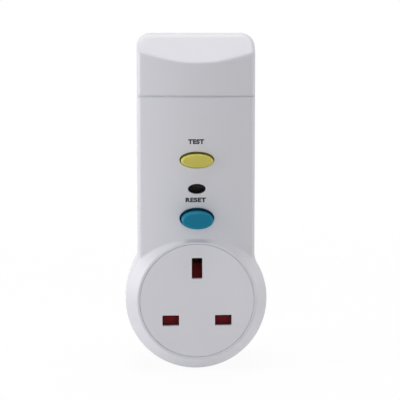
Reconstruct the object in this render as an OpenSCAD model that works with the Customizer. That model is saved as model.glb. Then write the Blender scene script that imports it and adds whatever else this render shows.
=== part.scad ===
// Plug-in residual current adapter with one shuttered socket outlet.
// Every piece is drawn lying on its back, with the wall face at height 0, the
// front towards +Z and the top towards +Y, and is then stood up by stand().

/* [Casing] */
// Depth from the wall face to the face of the socket disc
case_d = 42; // [41.5:0.5:48]
// Width of the upper body
body_w = 50; // [49.5:0.5:56]
// Height of the top edge above the socket axis
body_top = 112.3; // [111:0.1:124]
// Radius of the two upper corners
corner_r = 5.5; // [4.5:0.5:8]
// Outer radius of the round lower end
ring_r = 30; // [29.5:0.25:33]
// Height of the slope round the lower end
bevel_drop = 5; // [3.5:0.25:5.5]
// Width of the flat rim beside the socket disc
rim_land = 0.8; // [0.4:0.1:1.2]
// Height of the seam between the covers
seam_h = 26; // [24:0.5:26.5]
// Side wall of the front cover
front_wall = 2.2; // [1.8:0.1:2.4]
// Wall behind the crowned face
face_wall = 2.6; // [2.4:0.1:3]
// Radius of the crown across the face
crown_r = 80; // [70:1:140]
// Drop of the crown's ridge below the socket disc
crown_drop = 1.5; // [1:0.1:2]
// Height of the brow's lower edge, on the ridge
brow_z = 99.6; // [96:0.2:101]
// Slope of the brow from the face
brow_angle = 40.7; // [30:0.5:44]
// Height of the groove across the face
groove_z = 86; // [80:0.5:92]
// Width of the groove
groove_w = 1.4; // [0.8:0.1:2]
// Depth of the groove
groove_depth = 0.7; // [0.4:0.1:1.2]
// Inset of the rear cover from the front cover's outline
rear_step = 0.6; // [0.4:0.1:1]
// Side wall of the rear cover
rear_side = 2.5; // [2.3:0.1:2.8]
// Thickness of the rear cover's wall face
rear_wall = 2.4; // [2:0.1:2.8]
// Height of the lip that locates the covers
lip_h = 1.5; // [1:0.1:2]
// Height of the lower pair of casing screws
screw_low_z = 27; // [26.5:0.1:27.4]
// Distance of the upper pair of casing screws from the top edge
screw_top_drop = 7.8; // [7.5:0.1:8.5]
// Radius of the casing screws
screw_r = 1.45; // [1.25:0.05:1.6]
// Radius of the casing screws' heads
screw_head_r = 2.7; // [2.4:0.05:2.9]

/* [Socket] */
// Radius of the socket disc
disc_r = 24.15; // [23.9:0.05:24.6]
// Thickness of the socket disc
disc_t = 2.6; // [2.2:0.1:3]
// Distance between the two line pins, and from their row up to the earth pin
pin_pitch = 22.23; // [22:0.01:22.5]
// Drop of the row of line pins below the socket axis
row_drop = 8.42; // [8:0.02:9]
// Width of a line aperture
line_slot_w = 6.9; // [6.6:0.1:7.2]
// Height of a line aperture
line_slot_h = 4.4; // [4.3:0.1:4.8]
// Width of the earth aperture
earth_slot_w = 4.4; // [4.3:0.1:4.8]
// Height of the earth aperture
earth_slot_h = 8.7; // [8.4:0.1:9]
// Thickness of the shutter
shutter_t = 3; // [2.6:0.1:3]
// Travel of the shutter
shutter_travel = 5.4; // [5.2:0.1:5.5]

/* [Plug] */
// Width of a line pin
line_pin_w = 6.35; // [6.2:0.01:6.4]
// Thickness of the three pins
pin_t = 3.97; // [3.9:0.01:4.05]
// Length of the line pins
line_pin_l = 17.7; // [17:0.1:18.2]
// Height of the earth pin's section
earth_pin_w = 7.92; // [7.8:0.01:8]
// Length of the earth pin
earth_pin_l = 22.7; // [22:0.1:23]
// Length of the insulating sleeves
sleeve_l = 9.5; // [8.5:0.1:9.8]
// Wall of the sleeves
sleeve_t = 0.5; // [0.4:0.05:0.7]

/* [Buttons] */
// Width of both push buttons
button_w = 13.6; // [12.6:0.1:14]
// Height of the test button's oval
test_button_h = 5.9; // [5:0.1:6.4]
// Height of the test button above the socket axis
test_z = 59.5; // [59:0.1:60.5]
// How far the test button stands out of the face
test_proud = 2.6; // [2.2:0.1:4]
// Travel of the test button
test_travel = 1.6; // [1:0.1:2]
// Height of the reset button's oval
reset_button_h = 7.9; // [7:0.1:8.4]
// Height of the reset button above the socket axis
reset_z = 34.9; // [34.4:0.1:35.2]
// How far the reset button stands out of the face
reset_proud = 6.5; // [5:0.1:8]
// Travel of the reset button
reset_travel = 4; // [3:0.1:4.2]
// Gap round the buttons in their holes
button_gap = 0.45; // [0.35:0.05:0.6]

/* [Indicator] */
// Width of the window
window_w = 7.5; // [6.5:0.1:8]
// Height of the window
window_h = 4.2; // [3.6:0.1:4.6]
// Height of the window above the socket axis
window_z = 47.4; // [47:0.1:48]
// Depth of the lens below the face
window_sink = 0.5; // [0.3:0.1:0.8]
// Radius of the flag
flag_r = 6.8; // [6.4:0.1:6.8]
// Turn of the flag from tripped to reset, in degrees
flag_turn = 32; // [26:1:32]

/* [Breaker] */
// Travel of the contact carrier
carrier_travel = 2.5; // [2:0.1:2.6]
// Height of the lower contacts above the socket axis
contact_low_z = 34; // [33.8:0.1:34.2]
// Height of the upper contacts above the socket axis
contact_high_z = 43; // [42.8:0.1:43.4]
// Thickness of the copper bars
bar_t = 1.2; // [1:0.05:1.3]
// Diameter of the wires through the transformer
wire_d = 2.4; // [2:0.1:2.5]
// Distance of those wires from the middle plane
wire_x = 2.3; // [2.2:0.05:2.5]
// Height of those wires above the wall face
wire_h = 13.2; // [13.1:0.05:13.4]
// Outer radius of the transformer core
core_r = 9; // [8.8:0.05:9.05]
// Bore radius of the transformer core
core_bore = 5.5; // [5.4:0.05:5.7]
// Thickness of the transformer core
core_t = 6; // [5:0.1:6.2]
// Height of the transformer's middle above the socket axis
core_z = 26; // [25.8:0.1:26.2]
// Turns of the transformer's winding
winding_turns = 24; // [16:1:24]
// Radius of the guide posts
guide_r = 2; // [1.8:0.05:2.1]

/* [Trip coil] */
// Distance of the plunger from the middle plane
plunger_x = 8.5; // [8.4:0.05:8.6]
// Height of the plunger above the wall face
plunger_h = 19; // [18.8:0.1:19]
// Radius of the plunger
plunger_r = 2.3; // [2.1:0.05:2.35]
// Travel of the plunger
plunger_travel = 1.6; // [1.2:0.1:1.6]
// Radius of the coil
coil_r = 6.5; // [6:0.1:6.6]
// Length of the yoke
yoke_l = 25.4; // [24:0.2:27]

/* [Board] */
// Thickness of the circuit board
board_t = 1.6; // [1.4:0.1:1.6]
// Height of the board's underside above the wall face
board_h = 8.5; // [8.2:0.1:8.6]
// Distance of the board's end from the top edge of the body
board_top_drop = 12.3; // [12:0.1:13]

/* [Fits] */
// Gap between the socket disc and its hole
disc_gap = 0.25; // [0.2:0.05:0.3]
// Gap between fixed mouldings
fit_gap = 0.1; // [0.05:0.05:0.15]
// Gap between sliding mouldings
slide_gap = 0.3; // [0.25:0.05:0.35]
// Radial clearance of pins and posts in running bores
run_gap = 0.08; // [0.05:0.01:0.1]

/* [Hidden] */
$fn = 64;
// Margin by which a cutting shape runs past the solid it cuts
cut = 1;
// Overlap of two shapes that are joined into one piece
weld = 0.01;

// Colours
shell_white = [0.86, 0.86, 0.89];
rear_white = [0.84, 0.84, 0.87];
button_yellow = [0.80, 0.76, 0.25];
button_blue = [0.10, 0.45, 0.58];
shutter_red = [0.55, 0.08, 0.08];
pale_moulding = [0.90, 0.88, 0.80];
dark_moulding = [0.10, 0.10, 0.11];
brass = [0.80, 0.64, 0.30];
copper = [0.78, 0.45, 0.28];
steel = [0.62, 0.63, 0.65];

// Casing levels and outlines
apex_h = case_d - crown_drop;
inner_apex_h = apex_h - face_wall;
bevel_base_h = case_d - bevel_drop;
cavity_inset = rear_step + rear_side;
cavity_half = body_w / 2 - cavity_inset;
hole_r = disc_r + disc_gap;
land_r = hole_r + rim_land;
flange_w = 2.2;
flange_t = 1.9;
seat_drop = 4;
seat_h = case_d - seat_drop;
flange_r = disc_r + flange_w;
post_r = 3.2;
boss_r = 3.6;
boss_h = 14;
boss_floor = 4;
ring_shoulder = 1.5;
cross_slot = 0.8;
cross_depth = 1.2;
screw_head_h = 2.4;
screw_l = 15;
screw_x = cavity_half - slide_gap - post_r;
screw_spots = [for (s = [-1, 1], z = [screw_low_z, body_top - screw_top_drop]) [s * screw_x, z]];

// Socket levels
line_x = pin_pitch / 2;
earth_z = pin_pitch - row_drop;
block_base = 15;
block_floor = 2;
block_r = 20.8;
block_flange_r = disc_r - 0.4;
block_flange_t = 2.4;
block_depth = 8.6;
block_top = case_d - block_depth;
shutter_h = block_top + slide_gap;
shutter_top = shutter_h + shutter_t;
disc_back = case_d - disc_t;
skirt_t = 1.2;
clip_t = 0.8;
clip_foot_h = block_base + block_floor;
clip_mouth_depth = 3.4;
clip_mouth_h = block_top - clip_mouth_depth;
blocker_margin = 0.6;
blocker_w = line_slot_w + 1.5;
blocker_half = line_slot_h / 2 + blocker_margin;
keeper_x = 5;
keeper_z = -3.2;
keeper_size = [1.5, 3];
clip_half = 3.6;
clip_root = 3;
clip_pinch = 1;
line_clip_l = 6.4;
earth_clip_l = 8;
clip_end_gap = 1.2;
clip_side_gap = 0.6;
tab_size = [2.4, 2];
tab_x = line_x - 1.5;
tab_gap = 0.2;
shank_relief = [1, 3];
earth_shank = [pin_t - shank_relief[0], earth_pin_w - shank_relief[1]];
shank_gap = 0.5;
rail_t = 1.5;
rail_low_z = -13;
rail_high_z = -1;
stop_l = 1.4;
spring_stop_w = 4;
bar_top_z = -1.5;
shutter_half = line_x + blocker_w / 2;
shutter_leg_w = 2.8;
shutter_leg_gap = 0.35;
shutter_leg_out = line_x - line_slot_w / 2 - shutter_leg_gap;
shutter_leg_x = shutter_leg_out - shutter_leg_w / 2;
ramp_w = 5.2;
ramp_top_z = earth_z + 0.7;
ramp_low_z = earth_z - earth_slot_h / 2 - 0.9;
ramp_drop = 3.5;
ramp_heel = 1;
ramp_tip = 0.6;
spring_stop_z = -17;

// Plug levels
flange_pin_t = 2;
flange_pin_margin = 1.3;
pin_head_h = 6;
pin_tip = 1.4;

// Breaker levels
base_h = 9.5;
base_t = 2;
base_top = base_h + base_t;
base_low_z = 31.6;
base_high_z = 55;
plate_half = cavity_half - 1.4;
bridge_h = 25;
bridge_t = 2;
bridge_top = bridge_h + bridge_t;
bridge_high_z = 66;
column_r = 1.9;
column_x = plate_half - 1.7;
column_low_z = 33.4;
column_high_z = 47;
column_spots = [for (s = [-1, 1], z = [column_low_z, column_high_z]) [s * column_x, z]];
bridge_screw_r = 0.9;
bridge_screw_l = 8;
bridge_screw_head_r = 1.8;
bridge_screw_head_h = 1.3;
pad_top = base_top + bar_t;
spring_wire_r = 0.25;
spring_room = 0.8;
guide_x = 7.5;
guide_z = 38;
pad_gap = 0.5;
pad_room = 0.85;
pad_outer = column_x - column_r - pad_gap;
pad_inner = guide_x + guide_r + spring_room + spring_wire_r + pad_room;
pad_w = pad_outer - pad_inner;
contact_x = (pad_outer + pad_inner) / 2;
low_pad_l = 3.2;
riser_z = contact_low_z + low_pad_l / 2;
rivet_r = 1.5;
rivet_sink = 0.5;
fixed_rivet_h = 1.4;
moving_rivet_h = 1;
contact_gap_closed = 0.1;
strip_t = 0.8;
strip_w = pad_w - 0.6;
strip_end = 1.8;
strip_h = pad_top + fixed_rivet_h + contact_gap_closed + carrier_travel + moving_rivet_h;
carrier_h = strip_h + strip_t;
carrier_t = 3.5;
carrier_top = carrier_h + carrier_t;
carrier_low_z = 32.4;
carrier_high_z = 45.4;
carrier_half = column_x - column_r - 0.4;
guide_spot = [guide_x, guide_z];
bar_x0 = 9.2;
bar_h = pin_head_h;
ledge_z = 48.9;
tail_z = 44.7;
tail_w = 2.4;
tail_t = 1.2;
lug_l = 3.4;
driver_slot = 0.6;
pilot_end = 0.5;
ear_w = 5;
ear_rise = 2;

// Pillars that stand on the wall face inside the rear cover
pillar_r = 2.2;
block_pillar_x = 18.4;
block_pillars = [[-block_pillar_x, 3], [block_pillar_x, 3], [0, 1], [0, -17]];
bar_gap = 0.8;
bar_w = 5;
bar_neck_z = screw_low_z - boss_r - bar_gap;
bar_neck_w = min(bar_w, screw_x - boss_r - bar_gap - bar_x0);
pillar_side_in = 3;
pillar_end_in = 2.6;
base_pillars = [for (s = [-1, 1], z = [base_low_z + pillar_end_in, base_high_z - pillar_end_in])
    [s * (plate_half - pillar_side_in), z]];
cradle_w = 12;
cradle_t = 4;

// Middle line of the wire from the breaker, through the transformer, to a socket contact
wire_route = [[wire_x, tail_z - fit_gap], [wire_x, 21.6], [6.8, 17], [tab_x, 2],
    [tab_x, tab_size[1] / 2 + fit_gap - row_drop]];

// Springs
reset_wire_r = 0.3;
plunger_wire_r = 0.2;
shutter_spring_r = 1.1;
shutter_spring_turns = 8;
opening_spring_turns = 5;
reset_spring_turns = 6;
test_spring_turns = 7;
plunger_spring_turns = 4;

// Button levels
stem_gap = reset_travel - carrier_travel + slide_gap;
reset_flange_drop = 2.4;
reset_flange_h = inner_apex_h - reset_flange_drop;
test_flange_drop = 1.9;
test_flange_h = inner_apex_h - test_flange_drop;
button_flange_t = 1.2;
button_flange_w = 1.6;
reset_stem_r = 2.5;
test_stem_r = 2;
stem_hole_gap = 0.2;
reset_stem_end = carrier_top + stem_gap;
leaf_top = 14.8;
leaf_t = 0.5;
leaf_half = 1.5;
leaf_end = 2.4;
leaf_reach = 6;
leaf_foot = 3;
stud_r = 1.2;
test_stem_end = leaf_top + slide_gap;

// Indicator levels
lens_flange_h = inner_apex_h - 1.6;
lens_flange_t = 1.2;
lens_flange_w = 1.1;
lens_gap = 0.15;
flag_gap = 0.7;
flag_h = lens_flange_h - flag_gap - flag_r;
flag_half = 5.4;
ear_x = 6.2;
ear_t = 1.5;
spindle_r = 1;
flag_low_angle = 148;
flag_red_angle = 84;
flag_view_half = 18;
flag_high_angle = flag_red_angle - flag_turn - flag_view_half;
flag_shell = 1;
flag_web_half = 0.8;
flag_web_in = 6;
flag_hub_end = 0.2;
finger_t = 0.8;
flag_hub_r = spindle_r + 0.5;
flag_paint = 0.6;
finger_r = 9.8;
finger_angle = flag_low_angle + 1;
finger_x = 3.2;
finger_w = 2;
pusher_drop = 1.1;
pusher_rise = 3.6;
pusher_t = 1.3;

// Trip levels
board_top_h = board_h + board_t;
board_pillar_in = 3;
board_pillar_side_in = 4;
board_low_z = base_high_z + 5 * fit_gap;
board_high_z = body_top - board_top_drop;
board_pillars = [for (s = [-1, 1], z = [board_low_z + board_pillar_in, board_high_z - board_pillar_in])
    [s * (plate_half - board_pillar_side_in), z]];
yoke_gap = 4;
yoke_z = bridge_high_z + yoke_gap;
yoke_t = 1.4;
yoke_w = 15;
yoke_rise = 7;
yoke_top = plunger_h + yoke_rise;
bobbin_wall = 1;
bobbin_flange_t = 1.2;
bobbin_lip = 0.4;
bobbin_r = plunger_r + run_gap + bobbin_wall;
lever_z = 52.5;
lever_h = 13.8;
lever_t = 1.6;
lever_w = 7;
lever_top = 22.6;
lever_pin_r = 1;
lever_boss_r = 1.8;
hook_gap = 0.5;
lug_t = 1.4;
lug_gap = 0.4;
neck_r = 1.2;
collar_r = 2.2;
collar_t = 1.8;
washer_r = 2.6;
washer_t = 1.2;
plunger_spring_l = 4.8;
plunger_seat = 0.8;
plunger_end_gap = 2;
hook_h = 21;

// Parts on the board
chip_x = 10.5;
chip_z = 73;
chip_w = 9.6;
chip_l = 6.4;
chip_t = 3.3;
chip_lift = 0.6;
leg_w = 0.8;
leg_l = 1;
leg_pitch = 2.54;
leg_in = 0.1;
can_x = 12;
can_z = 92;
can_r = 5;
can_l = 14;
film_x = 11.5;
film_z = 82;
film_w = 12;
film_t = 5;
film_h = 9;
varistor_x = 12.5;
varistor_z = 62;
varistor_r = 5;
varistor_t = 3.6;
varistor_lift = 1.2;
varistor_lead_r = 0.4;
axial_lead = 0.6;
axial_lead_out = 1.6;
axial_lift = 0.4;
resistor_x = 11;
resistor_gap = 4;
resistor_pitch = 3.5;
resistor_r = 1.2;
resistor_l = 6.4;
diode_x = 9;
diode_pitch = 10.5;
diode_in = 2.2;
diode_r = 1.1;
diode_l = 4.2;

// Points of an oval of the given width and height
oval_sides = 48;
function oval_points(size) =
    [for (i = [0:oval_sides - 1]) let (a = 360 * i / oval_sides)
        [size[0] / 2 * cos(a), size[1] / 2 * sin(a)]];

// Faces of a tube of rings of sides points each, with closed ends
function tube_faces(rings, sides) = concat(
    [for (i = [0:rings - 2], j = [0:sides - 1])
        [i * sides + j, (i + 1) * sides + j, i * sides + (j + 1) % sides]],
    [for (i = [0:rings - 2], j = [0:sides - 1])
        [i * sides + (j + 1) % sides, (i + 1) * sides + j, (i + 1) * sides + (j + 1) % sides]],
    [for (j = [1:sides - 2]) [0, j, j + 1]],
    [for (j = [1:sides - 2]) [(rings - 1) * sides, (rings - 1) * sides + j + 1, (rings - 1) * sides + j]]);

// Least gap between stretches of a wound wire, measured on its middle line
function least_gap(line, wire_r, turn) =
    min([for (i = [0:len(line) - 1 - turn], j = [i + turn - 1:min(len(line) - 1, i + turn + 1)])
        norm(line[i] - line[j])]) - 2 * wire_r;

wire_sides = 6;
turn_rings = 8;

// Middle line of a helical spring that stands on Z = 0
function coil_line(r, wire_r, l, turns) =
    [for (i = [0:turns * turn_rings]) let (a = 360 * i / turn_rings)
        [r * cos(a), r * sin(a), wire_r + (l - 2 * wire_r) * i / (turns * turn_rings)]];

// Compression spring along Z, with its least gap printed
module coil(name, r, wire_r, l, turns) {
    line = coil_line(r, wire_r, l, turns);
    echo(str(name, " least gap ", least_gap(line, wire_r, turn_rings)));
    points = [for (i = [0:len(line) - 1], j = [0:wire_sides - 1])
        let (a = 360 * i / turn_rings, b = 360 * j / wire_sides, reach = r + wire_r * cos(b))
        [reach * cos(a), reach * sin(a), line[i][2] + wire_r * sin(b)]];
    polyhedron(points, tube_faces(len(line), wire_sides), convexity = 10);
}

// Stands a piece up, from lying on its back
module stand() rotate([90, 0, 0]) children();

// Block round a centre, from one height to another
module slab(centre, size, low, high) {
    translate([centre[0] - size[0] / 2, centre[1] - size[1] / 2, low]) cube([size[0], size[1], high - low]);
}

// Round post at a centre, from one height to another
module post(centre, r, low, high) {
    translate([centre[0], centre[1], low]) cylinder(r = r, h = high - low);
}

// Oval post on the middle plane
module oval_post(z, size, low, high) {
    translate([0, z, low]) linear_extrude(high - low) polygon(oval_points(size));
}

// Rod across the width
module rod_x(x0, x1, z, h, r) {
    translate([x0, z, h]) rotate([0, 90, 0]) cylinder(r = r, h = x1 - x0);
}

// Rod along the height of the body
module rod_z(x, z0, z1, h, r) {
    translate([x, z0, h]) rotate([-90, 0, 0]) cylinder(r = r, h = z1 - z0);
}

// Profile in the plane of height and depth, carried across the width
module across(x0, x1, points) {
    translate([x0, 0, 0]) rotate([90, 0, 90]) linear_extrude(x1 - x0) polygon(points);
}

// Outline of the upper body, drawn in by an inset
module body_outline(inset) {
    half = body_w / 2 - inset;
    top = body_top - inset;
    r = corner_r - inset;
    translate([-half, 0]) square([2 * half, top - r]);
    translate([r - half, 0]) square([2 * (half - r), top]);
    for (s = [-1, 1]) translate([s * (half - r), top - r]) circle(r);
}

// Outline of the whole casing
module case_outline(inset) {
    body_outline(inset);
    circle(ring_r - inset, $fn = 96);
}

// Space under the crowned face and its brow, at a depth below them
module crown_space(depth) {
    reach = body_top + 2 * ring_r;
    difference() {
        translate([0, -ring_r, apex_h - crown_r]) rotate([-90, 0, 0])
            cylinder(r = crown_r - depth, h = reach, $fn = 128);
        translate([0, brow_z, apex_h]) rotate([-brow_angle, 0, 0])
            translate([-body_w, -body_w / 2, -depth]) cube([2 * body_w, reach, body_w]);
    }
}

module front_cover() color(shell_white) stand() {
    groove_spread = groove_w / 2 * (1 + cut / groove_depth);
    difference() {
        union() {
            intersection() {
                translate([0, 0, seam_h]) linear_extrude(case_d - seam_h) body_outline(0);
                crown_space(0);
            }
            rotate_extrude($fn = 128)
                polygon([[hole_r - cut, seam_h], [ring_r, seam_h], [ring_r, bevel_base_h],
                    [land_r, case_d], [hole_r - cut, case_d]]);
        }
        intersection() {
            translate([0, 0, seam_h - cut]) linear_extrude(case_d - seam_h) body_outline(front_wall);
            crown_space(face_wall);
        }
        post([0, 0], ring_r - front_wall, seam_h - cut, bevel_base_h - ring_shoulder, $fn = 96);
        post([0, 0], flange_r + disc_gap, seam_h, seat_h, $fn = 96);
        post([0, 0], hole_r, seam_h, case_d + cut, $fn = 96);
        oval_post(test_z, [button_w + 2 * button_gap, test_button_h + 2 * button_gap], seam_h, case_d);
        oval_post(reset_z, [button_w + 2 * button_gap, reset_button_h + 2 * button_gap], seam_h, case_d);
        oval_post(window_z, [window_w, window_h], seam_h, case_d);
        translate([0, groove_z, apex_h - crown_r]) rotate([-90, 0, 0]) rotate_extrude($fn = 128)
            polygon([[crown_r - groove_depth, 0], [crown_r + cut, -groove_spread],
                [crown_r + cut, groove_spread]]);
    }
    for (spot = screw_spots) difference() {
        intersection() {
            post(spot, post_r, boss_h, case_d);
            crown_space(face_wall / 2);
        }
        post(spot, screw_r + fit_gap, boss_h - cut, boss_h + screw_l);
    }
}

module rear_cover() color(rear_white) stand() difference() {
    union() {
        difference() {
            union() {
                linear_extrude(seam_h) case_outline(rear_step);
                intersection() {
                    translate([0, 0, seam_h - cut])
                        linear_extrude(lip_h + cut) case_outline(front_wall + fit_gap);
                    crown_space(face_wall + fit_gap);
                }
            }
            translate([0, 0, rear_wall]) linear_extrude(seam_h + lip_h) case_outline(cavity_inset);
        }
        for (spot = screw_spots) post(spot, boss_r, 0, boss_h);
        for (spot = block_pillars) post(spot, pillar_r, 0, block_base);
        for (spot = base_pillars) post(spot, pillar_r, 0, base_h);
        for (spot = board_pillars) post(spot, pillar_r, 0, board_h);
        difference() {
            slab([0, core_z], [cradle_w, cradle_t], 0, wire_h - core_r + 1);
            rod_z(0, core_z - core_t, core_z + core_t, wire_h,
                core_r + winding_off + winding_wire_r + slide_gap);
        }
    }
    for (spot = screw_spots) {
        post(spot, screw_r + 2 * fit_gap, -cut, boss_h + cut);
        post(spot, screw_head_r + slide_gap, -cut, boss_h - boss_floor);
    }
    for (s = [-1, 1])
        slab([s * line_x, -row_drop], [line_pin_w + fit_gap, pin_t + fit_gap], -cut, rear_wall + cut);
    slab([0, earth_z], [pin_t + fit_gap, earth_pin_w + fit_gap], -cut, rear_wall + cut);
}

module casing_screws() color(steel) stand() {
    head_h = boss_h - boss_floor;
    for (spot = screw_spots) difference() {
        union() {
            post(spot, screw_head_r, head_h - screw_head_h, head_h);
            post(spot, screw_r, head_h - cut, head_h + screw_l);
        }
        for (turn = [0, 90]) translate([spot[0], spot[1], head_h - screw_head_h - cut])
            rotate(turn) translate([-screw_head_r / 2, -cross_slot / 2, 0])
                cube([screw_head_r, cross_slot, cross_depth + cut]);
    }
}

// The three apertures, cut through a range of heights
module apertures(low, high) {
    for (s = [-1, 1]) slab([s * line_x, -row_drop], [line_slot_w, line_slot_h], low, high);
    slab([0, earth_z], [earth_slot_w, earth_slot_h], low, high);
}

module socket_face() color(shell_white) stand() {
    difference() {
        union() {
            post([0, 0], disc_r, block_top, case_d, $fn = 96);
            post([0, 0], flange_r, seat_h - fit_gap - flange_t, seat_h - fit_gap, $fn = 96);
        }
        post([0, 0], disc_r - skirt_t, block_top - cut, disc_back, $fn = 96);
        apertures(block_top, case_d + cut);
    }
    for (s = [-1, 1]) slab([s * keeper_x, keeper_z], keeper_size, shutter_top + slide_gap, disc_back);
}

module indicator_window() color([0.12, 0.05, 0.05]) stand() {
    oval_post(window_z, [window_w - 2 * lens_gap, window_h - 2 * lens_gap],
        lens_flange_h, apex_h - window_sink);
    oval_post(window_z, [window_w + 2 * lens_flange_w, window_h + 2 * lens_flange_w],
        lens_flange_h, lens_flange_h + lens_flange_t);
}

// Bar of rectangular section with a bevelled tip, from the tip up to a height
module pin_bar(w, l, tip_h, high) {
    intersection() {
        across(-w / 2, w / 2, [[-l / 2 + pin_tip / 2, tip_h], [l / 2 - pin_tip / 2, tip_h],
            [l / 2, tip_h + pin_tip], [l / 2, high], [-l / 2, high], [-l / 2, tip_h + pin_tip]]);
        rotate([90, 0, 0]) translate([0, 0, -l / 2]) linear_extrude(l)
            polygon([[-w / 2 + pin_tip / 2, tip_h], [w / 2 - pin_tip / 2, tip_h],
                [w / 2, tip_h + pin_tip], [w / 2, high], [-w / 2, high], [-w / 2, tip_h + pin_tip]]);
    }
}

// Line pin with its sleeved neck, inner flange and head
module line_pin(side) {
    centre = [side * line_x, -row_drop];
    neck = [line_pin_w - 2 * sleeve_t, pin_t - 2 * sleeve_t];
    translate([centre[0], centre[1], 0]) pin_bar(line_pin_w, pin_t, -line_pin_l, -sleeve_l);
    slab(centre, neck, -sleeve_l, pin_head_h);
    slab(centre, [line_pin_w, pin_t], 0, rear_wall);
    slab(centre, [line_pin_w + 2 * flange_pin_margin, pin_t + 2 * flange_pin_margin],
        rear_wall, rear_wall + flange_pin_t);
}

module live_pin() color(brass) stand() line_pin(1);

module neutral_pin() color(brass) stand() line_pin(-1);

module earth_pin() color(brass) stand() translate([0, earth_z, 0]) {
    pin_bar(pin_t, earth_pin_w, -earth_pin_l, rear_wall);
    slab([0, 0], [pin_t + 2 * flange_pin_margin, earth_pin_w + 2 * flange_pin_margin],
        rear_wall, rear_wall + flange_pin_t);
    slab([0, 0], earth_shank, rear_wall, clip_foot_h);
}

module pin_sleeves() color(dark_moulding) stand() for (s = [-1, 1]) difference() {
    slab([s * line_x, -row_drop], [line_pin_w, pin_t], -sleeve_l, 0);
    slab([s * line_x, -row_drop], [line_pin_w - 2 * sleeve_t, pin_t - 2 * sleeve_t], -sleeve_l - cut, cut);
}

module contact_block() color(pale_moulding) stand() {
    line_room = [line_clip_l + 2 * clip_end_gap, 2 * (clip_half + clip_side_gap)];
    earth_room = [2 * (clip_half + clip_side_gap), earth_clip_l + 2 * clip_end_gap];
    slot_low_z = ramp_low_z - ramp_heel - shutter_travel - slide_gap;
    slot_high_z = ramp_top_z + slide_gap;
    difference() {
        union() {
            post([0, 0], block_r, block_base, block_top, $fn = 96);
            post([0, 0], block_flange_r, block_top - block_flange_t, block_top, $fn = 96);
        }
        for (s = [-1, 1]) {
            slab([s * line_x, -row_drop], line_room, clip_foot_h, block_top + cut);
            slab([s * tab_x, -row_drop], [tab_size[0] + 2 * tab_gap, tab_size[1] + 2 * tab_gap],
                block_base - cut, clip_foot_h + cut);
        }
        slab([0, earth_z], earth_room, clip_foot_h, block_top + cut);
        slab([0, earth_z], [earth_shank[0] + 2 * shank_gap, earth_shank[1] + 2 * shank_gap],
            block_base - cut, clip_foot_h + cut);
        slab([0, (slot_low_z + slot_high_z) / 2], [ramp_w + 2 * slide_gap, slot_high_z - slot_low_z],
            shutter_h - ramp_drop - slide_gap, block_top + cut);
    }
    for (s = [-1, 1]) {
        slab([s * (shutter_half + slide_gap + rail_t / 2), (rail_low_z + rail_high_z) / 2],
            [rail_t, rail_high_z - rail_low_z], block_top - cut, shutter_top);
        slab([s * shutter_leg_x, bar_top_z + slide_gap + stop_l / 2], [shutter_leg_w, stop_l],
            block_top - cut, shutter_top);
    }
    slab([0, spring_stop_z - rail_t / 2], [spring_stop_w, rail_t], block_top - cut, shutter_top);
}

// Two sprung leaves on a foot, drawn in width and height and carried along by l
module clip(l) {
    root_h = clip_foot_h + clip_root;
    waist_h = (root_h + clip_mouth_h) / 2;
    inner = clip_half - clip_t;
    leaf = [[clip_half, clip_foot_h], [clip_half, root_h], [clip_half - clip_pinch, waist_h],
        [clip_half, clip_mouth_h], [inner, clip_mouth_h], [inner - clip_pinch, waist_h],
        [inner, root_h], [inner, clip_foot_h]];
    for (s = [0, 1]) mirror([0, s, 0]) across(-l / 2, l / 2, leaf);
    slab([0, 0], [l, 2 * clip_half], clip_foot_h, clip_foot_h + clip_t);
}

// Line contact with the tab that its wire is joined to
module line_contact(side) {
    translate([side * line_x, -row_drop, 0]) clip(line_clip_l);
    slab([side * tab_x, -row_drop], tab_size, wire_h - wire_d / 2, clip_foot_h + clip_t);
}

module live_socket_contact() color(brass) stand() line_contact(1);

module neutral_socket_contact() color(brass) stand() line_contact(-1);

module earth_socket_contact() color(brass) stand() translate([0, earth_z, 0]) rotate(90) clip(earth_clip_l);

// The legs run down inside the line apertures, so that nothing is left behind these once the blockers have moved
module shutter() color(shutter_red) stand() {
    bar_low_z = blocker_half - row_drop;
    leg_low_z = -blocker_half - row_drop;
    ramp_base = shutter_h - ramp_drop;
    for (s = [-1, 1]) {
        slab([s * line_x, -row_drop], [blocker_w, 2 * blocker_half], shutter_h, shutter_top);
        slab([s * shutter_leg_x, (bar_top_z + leg_low_z) / 2], [shutter_leg_w, bar_top_z - leg_low_z],
            shutter_h, shutter_top);
    }
    slab([0, (bar_top_z + bar_low_z) / 2], [2 * shutter_leg_out, bar_top_z - bar_low_z],
        shutter_h, shutter_top);
    slab([0, (ramp_low_z + bar_top_z) / 2], [ramp_w, ramp_low_z - bar_top_z + 2 * weld],
        shutter_h, shutter_top);
    across(-ramp_w / 2, ramp_w / 2, [[ramp_low_z - ramp_heel, shutter_h], [ramp_low_z, ramp_base],
        [ramp_top_z, ramp_base], [ramp_top_z, ramp_base + ramp_tip],
        [ramp_low_z, shutter_top], [ramp_low_z - ramp_heel, shutter_top]]);
}

module shutter_spring() color(steel) stand() {
    top_z = blocker_half - row_drop - fit_gap;
    translate([0, spring_stop_z + fit_gap, shutter_h + shutter_t / 2]) rotate([-90, 0, 0])
        coil("shutter spring", shutter_spring_r, spring_wire_r, top_z - spring_stop_z - fit_gap,
            shutter_spring_turns);
}

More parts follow.
